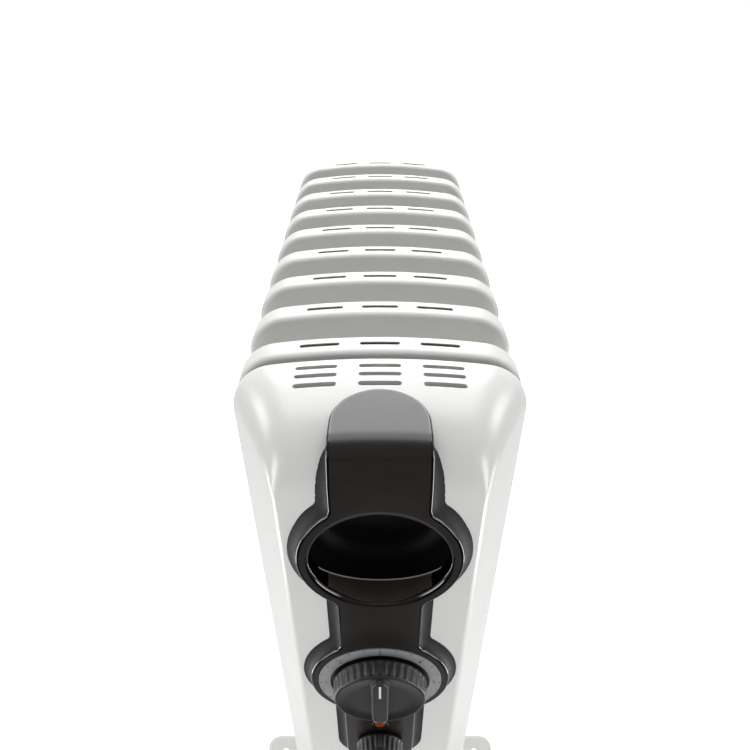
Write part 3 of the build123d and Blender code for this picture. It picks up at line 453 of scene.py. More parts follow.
def inside(point, loop):
    """Whether a flat point is inside a closed outline."""
    x, y = point
    odd = False
    for (ax, ay), (bx, by) in zip(loop, loop[1:] + loop[:1]):
        if (ay > y) != (by > y) and x < (bx - ax) * (y - ay) / (by - ay) + ax:
            odd = not odd
    return odd


def fin_ring(inset, y):
    """The fin's outline moved in by inset, at this depth."""
    ring = body_ring(
        HALF_WIDTH - inset,
        TOP - inset,
        FIN_BOTTOM + inset,
        SHOULDER_RADIUS - inset,
        FIN_CORNER - inset,
        CROWN_RADIUS - inset,
    )
    return [(x, y, z) for x, z in ring]


def fin_face(y, outward):
    """One face of a fin inside its rounded rim, with three pressed ribs. Returns points and faces."""
    border = [(x, z) for x, _, z in fin_ring(FIN_EDGE + 0.6, 0)]
    low, high = FIN_BOTTOM + RIB_BELOW, TOP - RIB_ABOVE
    middle, length = (low + high) / 2, high - low
    steps = ((1.4, 0.0), (0.5, 0.12), (-0.4, 0.6), (-1.2, 0.9), (-2.2, 1.0))
    feet = [
        slot_ring((x, middle), RIB_WIDTH + 2 * steps[0][0], length + 2 * steps[0][0], 10)
        for x in (-RIB_SPACING, 0, RIB_SPACING)
    ]
    points, faces = filled(border, feet, lambda p: (p[0], y, p[1]), 0)
    for x in (-RIB_SPACING, 0, RIB_SPACING):
        rings = []
        for grow, height in steps:
            outline = slot_ring((x, middle), RIB_WIDTH + 2 * grow, length + 2 * grow, 10)
            rings.append([(px, y + outward * height * RIB, pz) for px, pz in outline])
        faces += lofted(rings, close_start=False, first=len(points))
        points += [p for ring in rings for p in ring]
    return points, faces


def fin_shell(name):
    """One fin at the place of the first: rounded rims and ribbed faces, which make_fins hollows and cuts
    through with outlets on top and inlets below.
    """
    front, back = FIN_FRONT, FIN_FRONT + FIN_THICKNESS
    rings = [fin_ring(FIN_EDGE + 0.6, front)]
    for turn in range(0, 91, 15):
        angle = math.radians(turn)
        rings.append(
            fin_ring(FIN_EDGE * (1 - math.sin(angle)), front + FIN_EDGE * (1 - math.cos(angle)))
        )
    rings += [[(x, front + back - y, z) for x, y, z in ring] for ring in reversed(rings)]
    points = [p for ring in rings for p in ring]
    faces = lofted(rings, close_start=False, close_end=False)
    for y, outward in ((front, -1), (back, 1)):
        more, more_faces = fin_face(y, outward)
        faces += [tuple(len(points) + i for i in face) for face in more_faces]
        points += more
    return make_mesh(name, points, faces, enamel)


def tidy(piece, inward=False):
    """Merges doubled points and turns every face outwards, or inwards for the wall of a hollow."""
    work = bmesh.new()
    work.from_mesh(piece.data)
    bmesh.ops.remove_doubles(work, verts=work.verts, dist=1e-6)
    bmesh.ops.recalc_face_normals(work, faces=work.faces)
    if inward:
        bmesh.ops.reverse_faces(work, faces=work.faces)
    work.to_mesh(piece.data)
    work.free()
    piece.data.update()
    return piece


def turn_to(piece, direction):
    """Flips an open shell whose faces look away from this direction on the whole."""
    total = sum((face.normal * face.area for face in piece.data.polygons), Vector())
    if total.dot(Vector(direction)) < 0:
        piece.data.flip_normals()
    return piece


def start_tree(name, *inputs):
    """A Geometry Nodes tree whose named inputs are a piece, its count, its finish and these.

    Returns the tree and the sockets of its inputs."""
    tree = bpy.data.node_groups.new(name, "GeometryNodeTree")
    common = (("Geometry", "Geometry"), ("Piece", "Object"), ("Count", "Int"), ("Finish", "Material"))
    for title, kind in (*common, *inputs):
        tree.interface.new_socket(title, in_out="INPUT", socket_type=f"NodeSocket{kind}")
    tree.interface.new_socket("Geometry", in_out="OUTPUT", socket_type="NodeSocketGeometry")
    return tree, tree.nodes.new("NodeGroupInput").outputs


def grow(name, tree, given, row, values, **turned):
    """Puts a real copy of the piece on each point of a row, and makes one plain mesh of the result."""
    piece = add_node(tree, "GeometryNodeObjectInfo", {"Object": given["Piece"]}).outputs["Geometry"]
    spots = {"Points": row.outputs["Mesh"], "Instance": piece, **turned}
    copies = add_node(tree, "GeometryNodeInstanceOnPoints", spots).outputs["Instances"]
    real = add_node(tree, "GeometryNodeRealizeInstances", {"Geometry": copies}).outputs["Geometry"]
    coat = {"Geometry": real, "Material": given["Finish"]}
    coated = add_node(tree, "GeometryNodeSetMaterial", coat).outputs["Geometry"]
    add_node(tree, "NodeGroupOutput", {"Geometry": coated})
    holder = bpy.data.objects.new(name, bpy.data.meshes.new(name))
    bpy.context.scene.collection.objects.link(holder)
    modifier = holder.modifiers.new(name, "NODES")
    modifier.node_group = tree
    for item in tree.interface.items_tree:
        if item.in_out == "INPUT" and item.name in values:
            modifier[item.identifier] = values[item.name]
    settle(holder)
    drop(values["Piece"])
    return holder


def repeat_along(name, source, count, pitch, material):
    """Copies of a piece in a row along Y."""
    tree, given = start_tree(name, ("Pitch", "Float"))
    step = add_node(tree, "ShaderNodeCombineXYZ", {"Y": given["Pitch"]}).outputs["Vector"]
    row = add_node(tree, "GeometryNodeMeshLine", {"Count": given["Count"], "Offset": step}, mode="OFFSET")
    values = {"Piece": source, "Count": count, "Pitch": pitch * MM, "Finish": material}
    return grow(name, tree, given, row, values)


def make_fins():
    """Nine fins in a row, cut through by their outlets and inlets."""
    fin = tidy(fin_shell("fin"))
    hollow_rings = [
        fin_ring(FIN_SHEET + inset, y)
        for inset, y in (
            (2.0, FIN_FRONT + FIN_SHEET),
            (0.6, FIN_FRONT + FIN_SHEET + 0.6),
            (0.0, FIN_FRONT + FIN_SHEET + 2.0),
            (0.0, FIN_FRONT + FIN_THICKNESS - FIN_SHEET - 2.0),
            (0.6, FIN_FRONT + FIN_THICKNESS - FIN_SHEET - 0.6),
            (2.0, FIN_FRONT + FIN_THICKNESS - FIN_SHEET),
        )
    ]
    middle = FIN_FRONT + FIN_THICKNESS / 2
    cutters = [tidy(loft_piece("cutter", hollow_rings, enamel))]
    for x in (-SLOT_SPACING, 0, SLOT_SPACING):
        outline = slot_ring((x, middle), SLOT_LENGTH, OUTLET_WIDTH, 8)
        cutters.append(tidy(upright_cutter(outline, TOP - 10, TOP + 2)))
    for x in (-INLET_SPACING, 0, INLET_SPACING):
        outline = slot_ring((x, middle), INLET_LENGTH, INLET_WIDTH, 8)
        cutters.append(tidy(upright_cutter(outline, FIN_BOTTOM - 2, FIN_BOTTOM + 6)))
    cut(fin, cutters)
    fins = repeat_along("fins", fin, FIN_COUNT, FIN_PITCH, enamel)
    stands_for(fins, "fin_enamel", "root", *[f"fin_{n}" for n in range(1, FIN_COUNT + 1)])


# --- control end --------------------------------------------------------------------------------------
def nose_fall(forward):
    """How far the cap's crown has dropped at this distance in front of its back edge, as a share."""
    reach = min(max((forward - CAP_SKIRT) / (CAP_DEPTH - CAP_SKIRT), 0.0), 1.0)
    return 1 - (1 - reach**CAP_POWER) ** (1 / CAP_POWER)


def cap_ring(forward, inset=0.0):
    """The cap's outline at this distance in front of its back edge."""
    share = (forward - CAP_SKIRT) / (CAP_DEPTH - CAP_SKIRT)
    half = HALF_WIDTH - (HALF_WIDTH - CAP_NOSE_HALF) * max(share, 0.0)
    fall = nose_fall(forward)
    corner = max((forward - (CAP_DEPTH - CAP_EDGE)) / CAP_EDGE, 0.0)
    turned = CAP_EDGE * (1 - math.sqrt(max(1 - corner**2, 0.0))) * 0.55
    shoulder = SHOULDER_RADIUS + (CAP_NOSE_SHOULDER - SHOULDER_RADIUS) * fall**0.8
    ring = body_ring(
        half - inset - turned,
        TOP - inset - CAP_DROP * fall,
        CAP_BOTTOM + inset + turned,
        shoulder,
        CAP_CORNER,
    )
    return [(x, CAP_BACK - forward, z) for x, z in ring]


def make_cap():
    """The white cover: a thin wall open at the back, with the outlet grille and the grip's opening."""
    steps = 36
    turns = [math.radians(90 * i / steps) for i in range(1, steps + 1)]
    nose = [CAP_SKIRT + (CAP_DEPTH - CAP_SKIRT) * math.sin(t) ** (2 / CAP_POWER) for t in turns]
    outer = [cap_ring(0.0, 0.7), cap_ring(0.2, 0.2), cap_ring(0.7), cap_ring(3.0), cap_ring(CAP_SKIRT)]
    outer += [cap_ring(forward) for forward in nose]
    inner_depth = CAP_DEPTH - CAP_WALL
    inner = []
    for forward in [0.0, CAP_SKIRT] + nose:
        ring = cap_ring(forward, CAP_WALL)
        inner.append([(x, max(y, CAP_BACK - inner_depth), z) for x, y, z in ring])
    cap = tidy(loft_piece("front_cap_shell", outer, white_abs))
    hollow = tidy(loft_piece("cutter", [[(x, y + 1.0, z) for x, y, z in inner[0]]] + inner[1:], enamel))
    cutters = [hollow]
    for x in (-SLOT_SPACING, 0, SLOT_SPACING):
        for row in GRILLE_ROWS:
            outline = slot_ring((x, CAP_BACK - row), SLOT_LENGTH, GRILLE_WIDTH, 8)
            cutters.append(tidy(upright_cutter(outline, TOP - 12, TOP + 2)))
    for x in (-VENT_SPACING, 0, VENT_SPACING):
        for row in VENT_ROWS:
            outline = slot_ring((x, CAP_BACK - row), VENT_LENGTH, VENT_WIDTH, 8)
            cutters.append(tidy(upright_cutter(outline, CAP_BOTTOM - 2, CAP_BOTTOM + 6)))
    mouth = arc((0, GRIP_Z), GRIP_RADIUS + 2, 0, 360, 96)[:-1]
    cutters.append(tidy(level_cutter(mouth, CAP_FACE - 5, CAP_FACE + 25)))
    cut(cap, cutters, 30)
    stands_for(cap, "white_shell", "root", "front_cap")


# --- fascia -------------------------------------------------------------------------------------------
BEND_Y = FASCIA_FACE + BEND_RADIUS
BEND_Z = STRIP_TOP - BEND_RADIUS
BEND_LENGTH = BEND_RADIUS * math.pi / 2


def run_of(z):
    """The distance along the strip, from the back of the bend, of a height on its flat front."""
    return BEND_LENGTH + BEND_Z - z


def strip_point(run):
    """The strip's face along its middle: its Y and Z, and the Y and Z of its outward normal."""
    if run <= 0:
        return BEND_Y - run, STRIP_TOP, 0.0, 1.0
    if run >= BEND_LENGTH:
        return FASCIA_FACE, BEND_Z - (run - BEND_LENGTH), -1.0, 0.0
    turn = run / BEND_RADIUS
    out_y, out_z = -math.sin(turn), math.cos(turn)
    return BEND_Y + BEND_RADIUS * out_y, BEND_Z + BEND_RADIUS * out_z, out_y, out_z


def on_face(x, run, depth=0.0):
    """A point on the fascia, depth millimetres under its face. The top keeps a little of the crown."""
    y, z, out_y, out_z = strip_point(run)
    crown = x * x / (2 * CROWN_RADIUS) * (1 - smooth_step(run, 0, BEND_LENGTH))
    return x, y - out_y * depth, z - out_z * depth - crown


def fascia_outline(half, lobe_radius, neck_radius):
    """The fascia's edge in (x, run), from the apex down the right side and back up.

    The count of points doesn't depend on the sizes, so two outlines match point for point."""
    end = run_of(FASCIA_END_Z)
    arch = BEND_Y - APEX_Y + STRIP_HALF
    neck_x = half + neck_radius
    neck_run = math.sqrt((lobe_radius + neck_radius) ** 2 - neck_x**2)
    lean = math.degrees(math.atan2(neck_run, neck_x))
    right = arc((0, arch), half, -90, 0, 24)
    edge = arch
    for centre, count in ((run_of(GRIP_Z), 36), (run_of(DIAL_Z), 10)):
        length = centre - neck_run - edge
        right += [(half, edge + length * i / count) for i in range(1, count)]
        right += arc((neck_x, centre - neck_run), neck_radius, 180, 180 - lean, 8)
        right += arc((0, centre), lobe_radius, -lean, lean, 44)[1:-1]
        right += arc((neck_x, centre + neck_run), neck_radius, 180 + lean, 180, 8)
        edge = centre + neck_run
    count = 12
    right += [(half, edge + (end - edge) * i / count) for i in range(1, count)]
    right += arc((0, end), half, 0, 90, 24)
    wider = [1 + STRIP_TAPER * smooth_step(r, -12, 40) * (1 - smooth_step(r, 46, 68)) for _, r in right]
    right = [(x * grow_x, run) for (x, run), grow_x in zip(right, wider)]
    return right + [(-x, run) for x, run in reversed(right[1:-1])]


def outline_normals(loop):
    """The outward normal at each point of an outline."""
    normals = []
    for (ax, ay), (bx, by) in zip(loop[-1:] + loop[:-1], loop[1:] + loop[:1]):
        along = Vector((bx - ax, by - ay)).normalized()
        normals.append((along.y, -along.x))
    return normals


def polish_ring(ledge, polished, rest):
    """The material index of each face round the grip's opening, from its lowest point: the lowest faces get
    the ledge's painted light.
    """
    angles = [360 * (min(i, GRIP_COUNT - 1 - i) + 0.5) / GRIP_COUNT for i in range(GRIP_COUNT)]
    return [ledge if a < LEDGE_PAINTED_LIGHT else polished if a < POLISH_TURN else rest for a in angles]


def wall_depth(x, y, z, dir_y, dir_z):
    """How far from here, along a direction, the cap's surface is."""
    reach = 0.0
    while reach < 60:
        forward = CAP_BACK - (y + dir_y * reach)
        surface = TOP - CAP_DROP * nose_fall(forward) - x * x / (2 * CROWN_RADIUS)
        if forward < CAP_DEPTH and z + dir_z * reach < surface:
            return reach
        reach += 0.25
    return reach


def make_fascia():
    """The dark strip with a rounded edge, and a side that flares out where it meets the cap."""
    loop = fascia_outline(STRIP_HALF, LOBE_RADIUS, NECK_RADIUS)
    normals = outline_normals(loop)
    foot = fascia_outline(STRIP_HALF + STRIP_FLARE, LOBE_RADIUS + LOBE_FLARE, FOOT_NECK)
    inset = FASCIA_EDGE + 0.5
    border = [(x - nx * inset, r - nr * inset) for (x, r), (nx, nr) in zip(loop, normals)]
    rings = [[on_face(x, run) for x, run in border]]
    for turn in range(0, 91, 15):
        angle = math.radians(turn)
        move = FASCIA_EDGE * (1 - math.sin(angle))
        depth = FASCIA_EDGE * (1 - math.cos(angle))
        rings.append(
            [on_face(x - nx * move, r - nr * move, depth) for (x, r), (nx, nr) in zip(loop, normals)]
        )
    starts = rings[-1]
    feet = []
    for (x, run), (foot_x, foot_run), (_, y, z) in zip(loop, foot, starts):
        turn = math.radians(90 * (1 - smooth_step(run, -26, 36)))
        dir_y, dir_z = math.cos(turn), -math.sin(turn)
        flare = smooth_step(run, 2, 42) * (0.86 + 0.22 * smooth_step(run, 24, 60))
        move_x, move_z = (foot_x - x) * flare, (run - foot_run) * flare
        depth = wall_depth(x + move_x, y, z + move_z, dir_y, dir_z) + 1.0
        feet.append((move_x, move_z, depth, dir_y, dir_z))
    for share in (0.15, 0.3, 0.45, 0.6, 0.72, 0.82, 0.9, 1.0):
        ring = []
        for (sx, sy, sz), (move_x, move_z, depth, dir_y, dir_z) in zip(starts, feet):
            out, reach = share**2.2, depth * share
            ring.append((sx + move_x * out, sy + dir_y * reach, sz + dir_z * reach + move_z * out))
        rings.append(ring)
    points = [p for ring in rings for p in ring]
    faces = lofted(rings, close_start=False, close_end=False)
    edge_faces = 7 * len(loop)
    flank_faces = len(faces) - edge_faces

    mouth_run = run_of(GRIP_Z)
    lips = []
    for i in range(GRIP_COUNT):
        angle = 2 * math.pi * i / GRIP_COUNT
        from_bottom = abs(math.degrees(math.atan2(math.sin(angle), math.cos(angle))))
        lip = 1.5 + 5.5 * smooth_step(from_bottom, 110, 170)
        lip += 1.1 * smooth_step(from_bottom, 12, 40) * (1 - smooth_step(from_bottom, 66, 90))
        lips.append((math.sin(angle), math.cos(angle), lip))
    mouth_rings = []
    for turn in range(0, 91, 10):
        angle = math.radians(turn)
        ring = []
        for side, down, lip in lips:
            radius = GRIP_RADIUS + 1.5 - lip * math.sin(angle) + (lip - 1.5) * LIP_RISE
            ring.append((side * radius, mouth_run + down * radius, lip * (1 - math.cos(angle))))
        mouth_rings.append(ring)
    ends = [GRIP_RADIUS + 1.5 - lip + (lip - 1.5) * LIP_RISE for _, _, lip in lips]
    mouth_rings.append([(s * r, mouth_run + d * r, 8.5) for (s, d, _), r in zip(lips, ends)])
    lip_faces = len(mouth_rings) - 1
    faces += lofted(mouth_rings, close_start=False, close_end=False, first=len(points))
    points += [on_face(x, run, depth) for ring in mouth_rings for x, run, depth in ring]

    hole = [(x, run) for x, run, _ in mouth_rings[0]]
    back = BEND_Y - APEX_Y
    extra = []
    for i in range(-5, 6):
        for k in range(26):
            spot = (i * 3.6, back + 4 + k * 2.2)
            if spot[1] < 24 and inside(spot, border):
                extra.append(spot)
    more, more_faces = filled(border, [hole], lambda p: on_face(p[0], p[1]), len(points), extra)
    points += more
    faces += more_faces
    fascia = make_mesh("fascia_strip", points, faces, dark_abs)
    fascia.data.materials.append(flank_painted_shade_abs)
    fascia.data.materials.append(black_abs)
    fascia.data.materials.append(tunnel_painted_light_abs)
    # the flanks take the painted-shade copy, and the lowest faces of the mouth's wall take the tunnel's
    # painted light
    indices = [2] * edge_faces + [1] * flank_faces + polish_ring(2, 2, 0) * (lip_faces - 1)
    indices += polish_ring(3, 2, 0)
    indices += [0] * len(more_faces)
    fascia.data.polygons.foreach_set("material_index", indices)
    turn_to(tidy(fascia), (0, -1, 0.5))
    wall = fascia.modifiers.new("wall", "SOLIDIFY")
    wall.thickness = 1.2 * MM
    wall.offset = -1
    settle(fascia, 40)
    stands_for(fascia, "dark_plastic", "root", "fascia")


def bowl_depth(turn):
    """How deep the grip's short tunnel runs at this angle from its lowest point, in radians."""
    low = math.cos(math.radians(LEDGE_TURN))
    return 9.5 + 7.3 * max((math.cos(turn) - low) / (1 - low), 0.0)


def make_grip():
    """The glossy bowl behind the grip with painted light on its ledge, and a fine white bead along the
    ledge that is a painted highlight on its edge.
    """
    turns = [2 * math.pi * i / GRIP_COUNT for i in range(GRIP_COUNT)]
    mouth = GRIP_RADIUS - 0.05
    rings = [[(mouth * math.sin(t), FASCIA_FACE + 8.3, GRIP_Z - mouth * math.cos(t)) for t in turns]]
    for out, back in ((0.0, -0.6), (0.12, -0.25), (0.35, -0.05), (0.7, 0.0)):
        radius = mouth + out
        rings.append(
            [
                (radius * math.sin(t), FASCIA_FACE + bowl_depth(t) + back, GRIP_Z - radius * math.cos(t))
                for t in turns
            ]
        )

    def bowl(inset, y_of):
        """One ring of the bowl, moved in by inset, at the depth that y_of gives for each angle."""
        ring = []
        for t in turns:
            lift = BOWL_RISE * smooth_step(-math.cos(t), -0.25, 0.25)
            radius = BOWL_HALF - inset
            ring.append((radius * math.sin(t), y_of(t), GRIP_Z + lift - radius * math.cos(t)))
        return ring

    rings.append(bowl(1.5, lambda t: FASCIA_FACE + bowl_depth(t) + 0.6))
    rings.append(bowl(0.3, lambda t: FASCIA_FACE + bowl_depth(t) + 1.6))
    rings.append(bowl(0.0, lambda t: FASCIA_FACE + bowl_depth(t) + 3.0))
    for turn in range(0, 91, 10):
        angle = math.radians(turn)
        y = GRIP_BACK - BOWL_EDGE * (1 - math.sin(angle))
        rings.append(bowl(BOWL_EDGE * (1 - math.cos(angle)), lambda t, y=y: y))
    for share in (0.75, 0.5, 0.25, 0.08):
        ring = rings[14 + 3]
        centre = GRIP_Z + BOWL_RISE / 2
        rings.append([(x * share, GRIP_BACK, centre + (z - centre) * share) for x, _, z in ring])
    bowl_piece = loft_piece("grip_bowl", rings, bowl_abs, close_start=False)
    bowl_piece.data.materials.append(tunnel_painted_light_abs)
    bowl_piece.data.materials.append(black_abs)
    # the tunnel's lowest faces take its painted light
    indices = polish_ring(1, 2, 0) * 4
    indices += [0] * (len(bowl_piece.data.polygons) - len(indices))
    bowl_piece.data.polygons.foreach_set("material_index", indices)
    turn_to(tidy(bowl_piece), (0, -1, 0))
    wall = bowl_piece.modifiers.new("wall", "SOLIDIFY")
    wall.thickness = 1.2 * MM
    wall.offset = -1
    settle(bowl_piece)
    stands_for(bowl_piece, "pocket_black", "root", "hand_pocket")

    # a thin white bead along the ledge's back edge: a painted highlight
    steps = 60
    section = ((-0.12, -0.75), (-0.3, -0.45), (-0.3, -0.15), (-0.05, 0.12), (0.4, 0.12), (0.4, -0.75))
    edge = []
    for i in range(steps + 1):
        t = math.radians(LEDGE_TURN * (2 * i / steps - 1))
        y = FASCIA_FACE + bowl_depth(t)
        ring = []
        for out, back in section:
            radius = mouth + out
            ring.append((radius * math.sin(t), y + back, GRIP_Z - radius * math.cos(t)))
        edge.append(ring)
    line = tidy(loft_piece("cover_edge", edge, white_abs))
    stands_for(line, "white_shell", "root")


# --- controls -----------------------------------------------------------------------------------------
def turned(profile, count, along, centre, wave=None):
    """Rings of a turned shape. profile lists (radius, distance along); along is "x" or "y".

    wave gives how far the radius is cut back at a distance along and an angle."""
    rings = []
    for radius, reach in profile:
        ring = []
        for i in range(count):
            angle = 2 * math.pi * i / count
            r = radius - (wave(reach, angle) if wave else 0.0)
            a, b = r * math.cos(angle), r * math.sin(angle)
            cx, cy, cz = centre
            ring.append((cx + reach, cy + a, cz + b) if along == "x" else (cx + a, cy + reach, cz + b))
        rings.append(ring)
    return rings


def ring_of(name, source, count, step, start, centre, axis, material):
    """Copies of a piece turned about an axis through a centre.

    The source's own place is measured from that centre, and step and start are in degrees."""
    extras = (("Step", "Float"), ("Start", "Float"), ("Centre", "Vector"), ("Axis", "Vector"))
    tree, given = start_tree(name, *extras)
    spots = {"Count": given["Count"], "Start Location": given["Centre"], "Offset": (0, 0, 0)}
    row = add_node(tree, "GeometryNodeMeshLine", spots, mode="OFFSET")
    index = add_node(tree, "GeometryNodeInputIndex").outputs["Index"]
    terms = {0: index, 1: given["Step"], 2: given["Start"]}
    angle = add_node(tree, "ShaderNodeMath", terms, operation="MULTIPLY_ADD").outputs["Value"]
    spin = {"Vector": given["Axis"], "Scale": angle}
    turns = add_node(tree, "ShaderNodeVectorMath", spin, operation="SCALE").outputs["Vector"]
    values = {"Piece": source, "Count": count, "Axis": axis, "Finish": material}
    values |= {"Step": math.radians(step), "Start": math.radians(start), "Centre": [c * MM for c in centre]}
    return grow(name, tree, given, row, values, Rotation=turns)


def joined(name, pieces):
    """One mesh object from several, each keeping its own material."""
    work = bmesh.new()
    materials = []
    for piece in pieces:
        first = len(work.faces)
        work.from_mesh(piece.data)
        work.faces.ensure_lookup_table()
        offset = len(materials)
        for face in work.faces[first:]:
            face.material_index += offset
        materials += list(piece.data.materials)
    mesh = bpy.data.meshes.new(name)
    work.to_mesh(mesh)
    work.free()
    for material in materials:
        mesh.materials.append(material)
    whole = bpy.data.objects.new(name, mesh)
    bpy.context.scene.collection.objects.link(whole)
    for piece in pieces:
        drop(piece)
    return whole


def bar_rings(centre, width, length, steps):
    """Rings of an upright bar with round ends: steps lists (inset, y)."""
    return [
        [(x, y, z) for x, z in slot_ring(centre, width - 2 * inset, length - 2 * inset, 12)]
        for inset, y in steps
    ]


def make_knob(name, node, body, flutes):
    """A fluted knob with a raised pointer bar and a white line on it."""
    low, high = span(node)
    centre = (0.0, 0.0, (low.z + high.z) / 2)
    radius = (high.x - low.x) / 2
    back, front = high.y, low.y
    face = front + 2.6
    profile = [(radius - 1.2, back), (radius - 0.4, back - 0.3), (radius, back - 1.0)]
    profile += [(radius, back - 1.8), (radius, back - 2.4), (radius - 0.1, back - 4.5)]
    profile += [(radius - 0.3, face + 3.6), (radius - 0.5, face + 2.6), (radius - 0.7, face + 2.0)]
    for turn in (15, 35, 55, 75, 90):
        angle = math.radians(turn)
        profile.append((radius - 2.5 + 1.8 * math.cos(angle), face + 1.8 - 1.8 * math.sin(angle)))
    profile += [(radius - 3.4, face + 0.1), (radius - 4.2, face + 0.6), (radius * 0.6, face + 0.8)]
    profile += [(radius * 0.3, face + 0.7), (0.6, face + 0.7)]

    def flute(y, angle):
        """How deep the grip's flutes are: none at the skirt and at the face."""
        depth = 0.9 * smooth_step(back - y, 1.6, 3.2) * smooth_step(y - face, 0.6, 2.6)
        return depth * (0.5 + 0.5 * math.cos(flutes * angle)) ** 1.6

    skirt = tidy(loft_piece(name, turned(profile, flutes * 8, "y", centre, flute), knob_abs, 40))
    middle = (0.0, centre[2])
    steps = [(-0.8, face + 1.0), (-0.2, face + 0.3), (0.0, face - 0.4), (0.05, front + 0.8)]
    steps += [(0.3, front + 0.25), (0.8, front), (1.6, front)]
    width, length = radius * 0.34, radius * 1.66
    bar = tidy(loft_piece("bar", bar_rings(middle, width, length, steps), knob_abs))
    mark_middle = (0.0, centre[2] + radius * 0.52)
    mark_steps = [(0.0, front + 0.1), (0.0, front - 0.03), (0.12, front - 0.05)]
    mark = tidy(loft_piece("mark", bar_rings(mark_middle, 1.3, radius * 0.5, mark_steps), white_ink))
    whole = joined(name, [skirt, bar, mark])
    whole.data.set_sharp_from_angle(angle=math.radians(40))
    stands_for(whole, "knob_plastic", body, node)


def make_scale():
    """The silver ring's scale: ticks every 15 degrees and the numbers 0 to 6 every 45 degrees."""
    face = span("thermostat_ring")[0].y
    centre = (0.0, face, DIAL_Z)
    tick_rings = bar_rings((0.0, TICK_RADIUS), 0.5, 1.8, [(0.0, 0.05), (0.0, -0.04)])
    tick = tidy(loft_piece("tick", tick_rings, knob_abs))
    ticks = ring_of("scale_ticks", tick, 19, 15, SCALE_START, centre, (0, 1, 0), knob_abs)
    numbers = []
    for value in range(7):
        turn = math.radians(SCALE_START + 45 * value)
        side, up = NUMBER_RADIUS * math.sin(turn) * MM, (NUMBER_RADIUS * math.cos(turn) + DIAL_Z) * MM
        curve = bpy.data.curves.new("number", "FONT")
        curve.body = str(value)
        curve.size = NUMBER_HEIGHT * MM
        curve.extrude = 0.04 * MM
        curve.align_x = "CENTER"
        curve.align_y = "CENTER"
        text = bpy.data.objects.new("number", curve)
        bpy.context.scene.collection.objects.link(text)
        graph = bpy.context.evaluated_depsgraph_get()
        mesh = bpy.data.meshes.new_from_object(text.evaluated_get(graph))
        drop(text)
        for vertex in mesh.vertices:
            x, y, z = vertex.co
            vertex.co = (x + side, face * MM - z, y + up)
        mesh.materials.append(knob_abs)
        number = bpy.data.objects.new("number", mesh)
        bpy.context.scene.collection.objects.link(number)
        numbers.append(tidy(number))
    whole = joined("dial_scale", [ticks, *numbers])
    stands_for(whole, "knob_plastic", "root")


def make_lens():
    """A domed amber lens in a fine black bezel."""
    low, high = span("pilot_lens")
    centre = (0.0, 0.0, (low.z + high.z) / 2)
    radius = (high.x - low.x) / 2 - 0.05
    front = low.y
    profile = [(radius, high.y), (radius, front + 1.6)]
    for turn in range(0, 90, 15):
        angle = math.radians(turn)
        profile.append((radius * math.cos(angle), front + 1.5 * (1 - math.sin(angle))))
    profile.append((0.15, front))
    lens = tidy(loft_piece("pilot_lens_dome", turned(profile, 48, "y", centre), amber))
    stands_for(lens, "amber_lens", "root", "pilot_lens")
    steps = ((4.3, 0.2), (5.6, 0.2), (5.6, -0.5), (5.3, -0.9), (4.8, -1.0), (4.35, -0.7), (4.3, 0.2))
    rim = turned([(r, FASCIA_FACE + out) for r, out in steps], 64, "y", centre)
    bezel = tidy(loft_piece("pilot_bezel", rim, black_abs, close_start=False, close_end=False))
    stands_for(bezel, "dark_plastic", "root")


# --- castors ------------------------------------------------------------------------------------------
def make_wheel(corner):
    """A nylon wheel: a soft tread, a recessed web with five ribs on each side, and a hub."""
    node = f"castor_wheel_{corner}"
    low, high = span(node)
    centre = tuple((low + high) / 2)
    radius, half = (high.z - low.z) / 2, (high.x - low.x) / 2
    bore = 3.1
    profile = [(bore, -half), (6.4, -half), (7.0, -half + 0.5), (7.4, -half + 3.4), (15.6, -half + 3.8)]
    profile += [(16.6, -half + 3.0), (17.2, -half + 0.6), (18.4, -half + 0.1), (19.4, -half + 0.3)]
    for turn in (10, 30, 50, 70, 90):
        angle = math.radians(turn)
        profile.append((radius - 2.6 + 2.6 * math.sin(angle), -half + 0.4 + 2.6 * (1 - math.cos(angle))))
    groove = (-half / 4, 0.0), (-half / 4 + 0.3, 0.5), (half / 4 - 0.3, 0.5), (half / 4, 0.0)
    profile += [(radius - depth, x) for x, depth in groove]
    profile += [(r, -x) for r, x in reversed(profile[:14])]
    rings = turned(profile, 96, "x", centre)
    body = tidy(loft_piece(node, rings, nylon, 40, close_start=False, close_end=False))
    ribs = []
    for side in (-1, 1):
        steps = [(0.0, half - 4.0), (0.0, half - 1.5), (0.3, half - 1.1)]
        outline = [
            [(side * x, y, z) for y, z in slot_ring((0.0, 11.6), 1.8 - 2 * inset, 9.8 - 2 * inset, 6)]
            for inset, x in steps
        ]
        rib = tidy(loft_piece("rib", outline, nylon))
        ribs.append(ring_of("ribs", rib, 5, 72, 0, centre, (1, 0, 0), nylon))
    whole = joined(f"wheel_{corner}_tyre", [body, *ribs])
    whole.data.set_sharp_from_angle(angle=math.radians(40))
    stands_for(whole, "wheel_nylon", f"wheel_{corner}", node)


make_fins()
make_cap()
make_fascia()
make_grip()
make_knob("thermostat_grip", "thermostat_knob", "thermostat_dial", 36)
make_knob("selector_grip", "selector_knob", "selector_dial", 24)
make_scale()
make_lens()
for corner in ("front_left", "front_right", "rear_left", "rear_right"):
    make_wheel(corner)


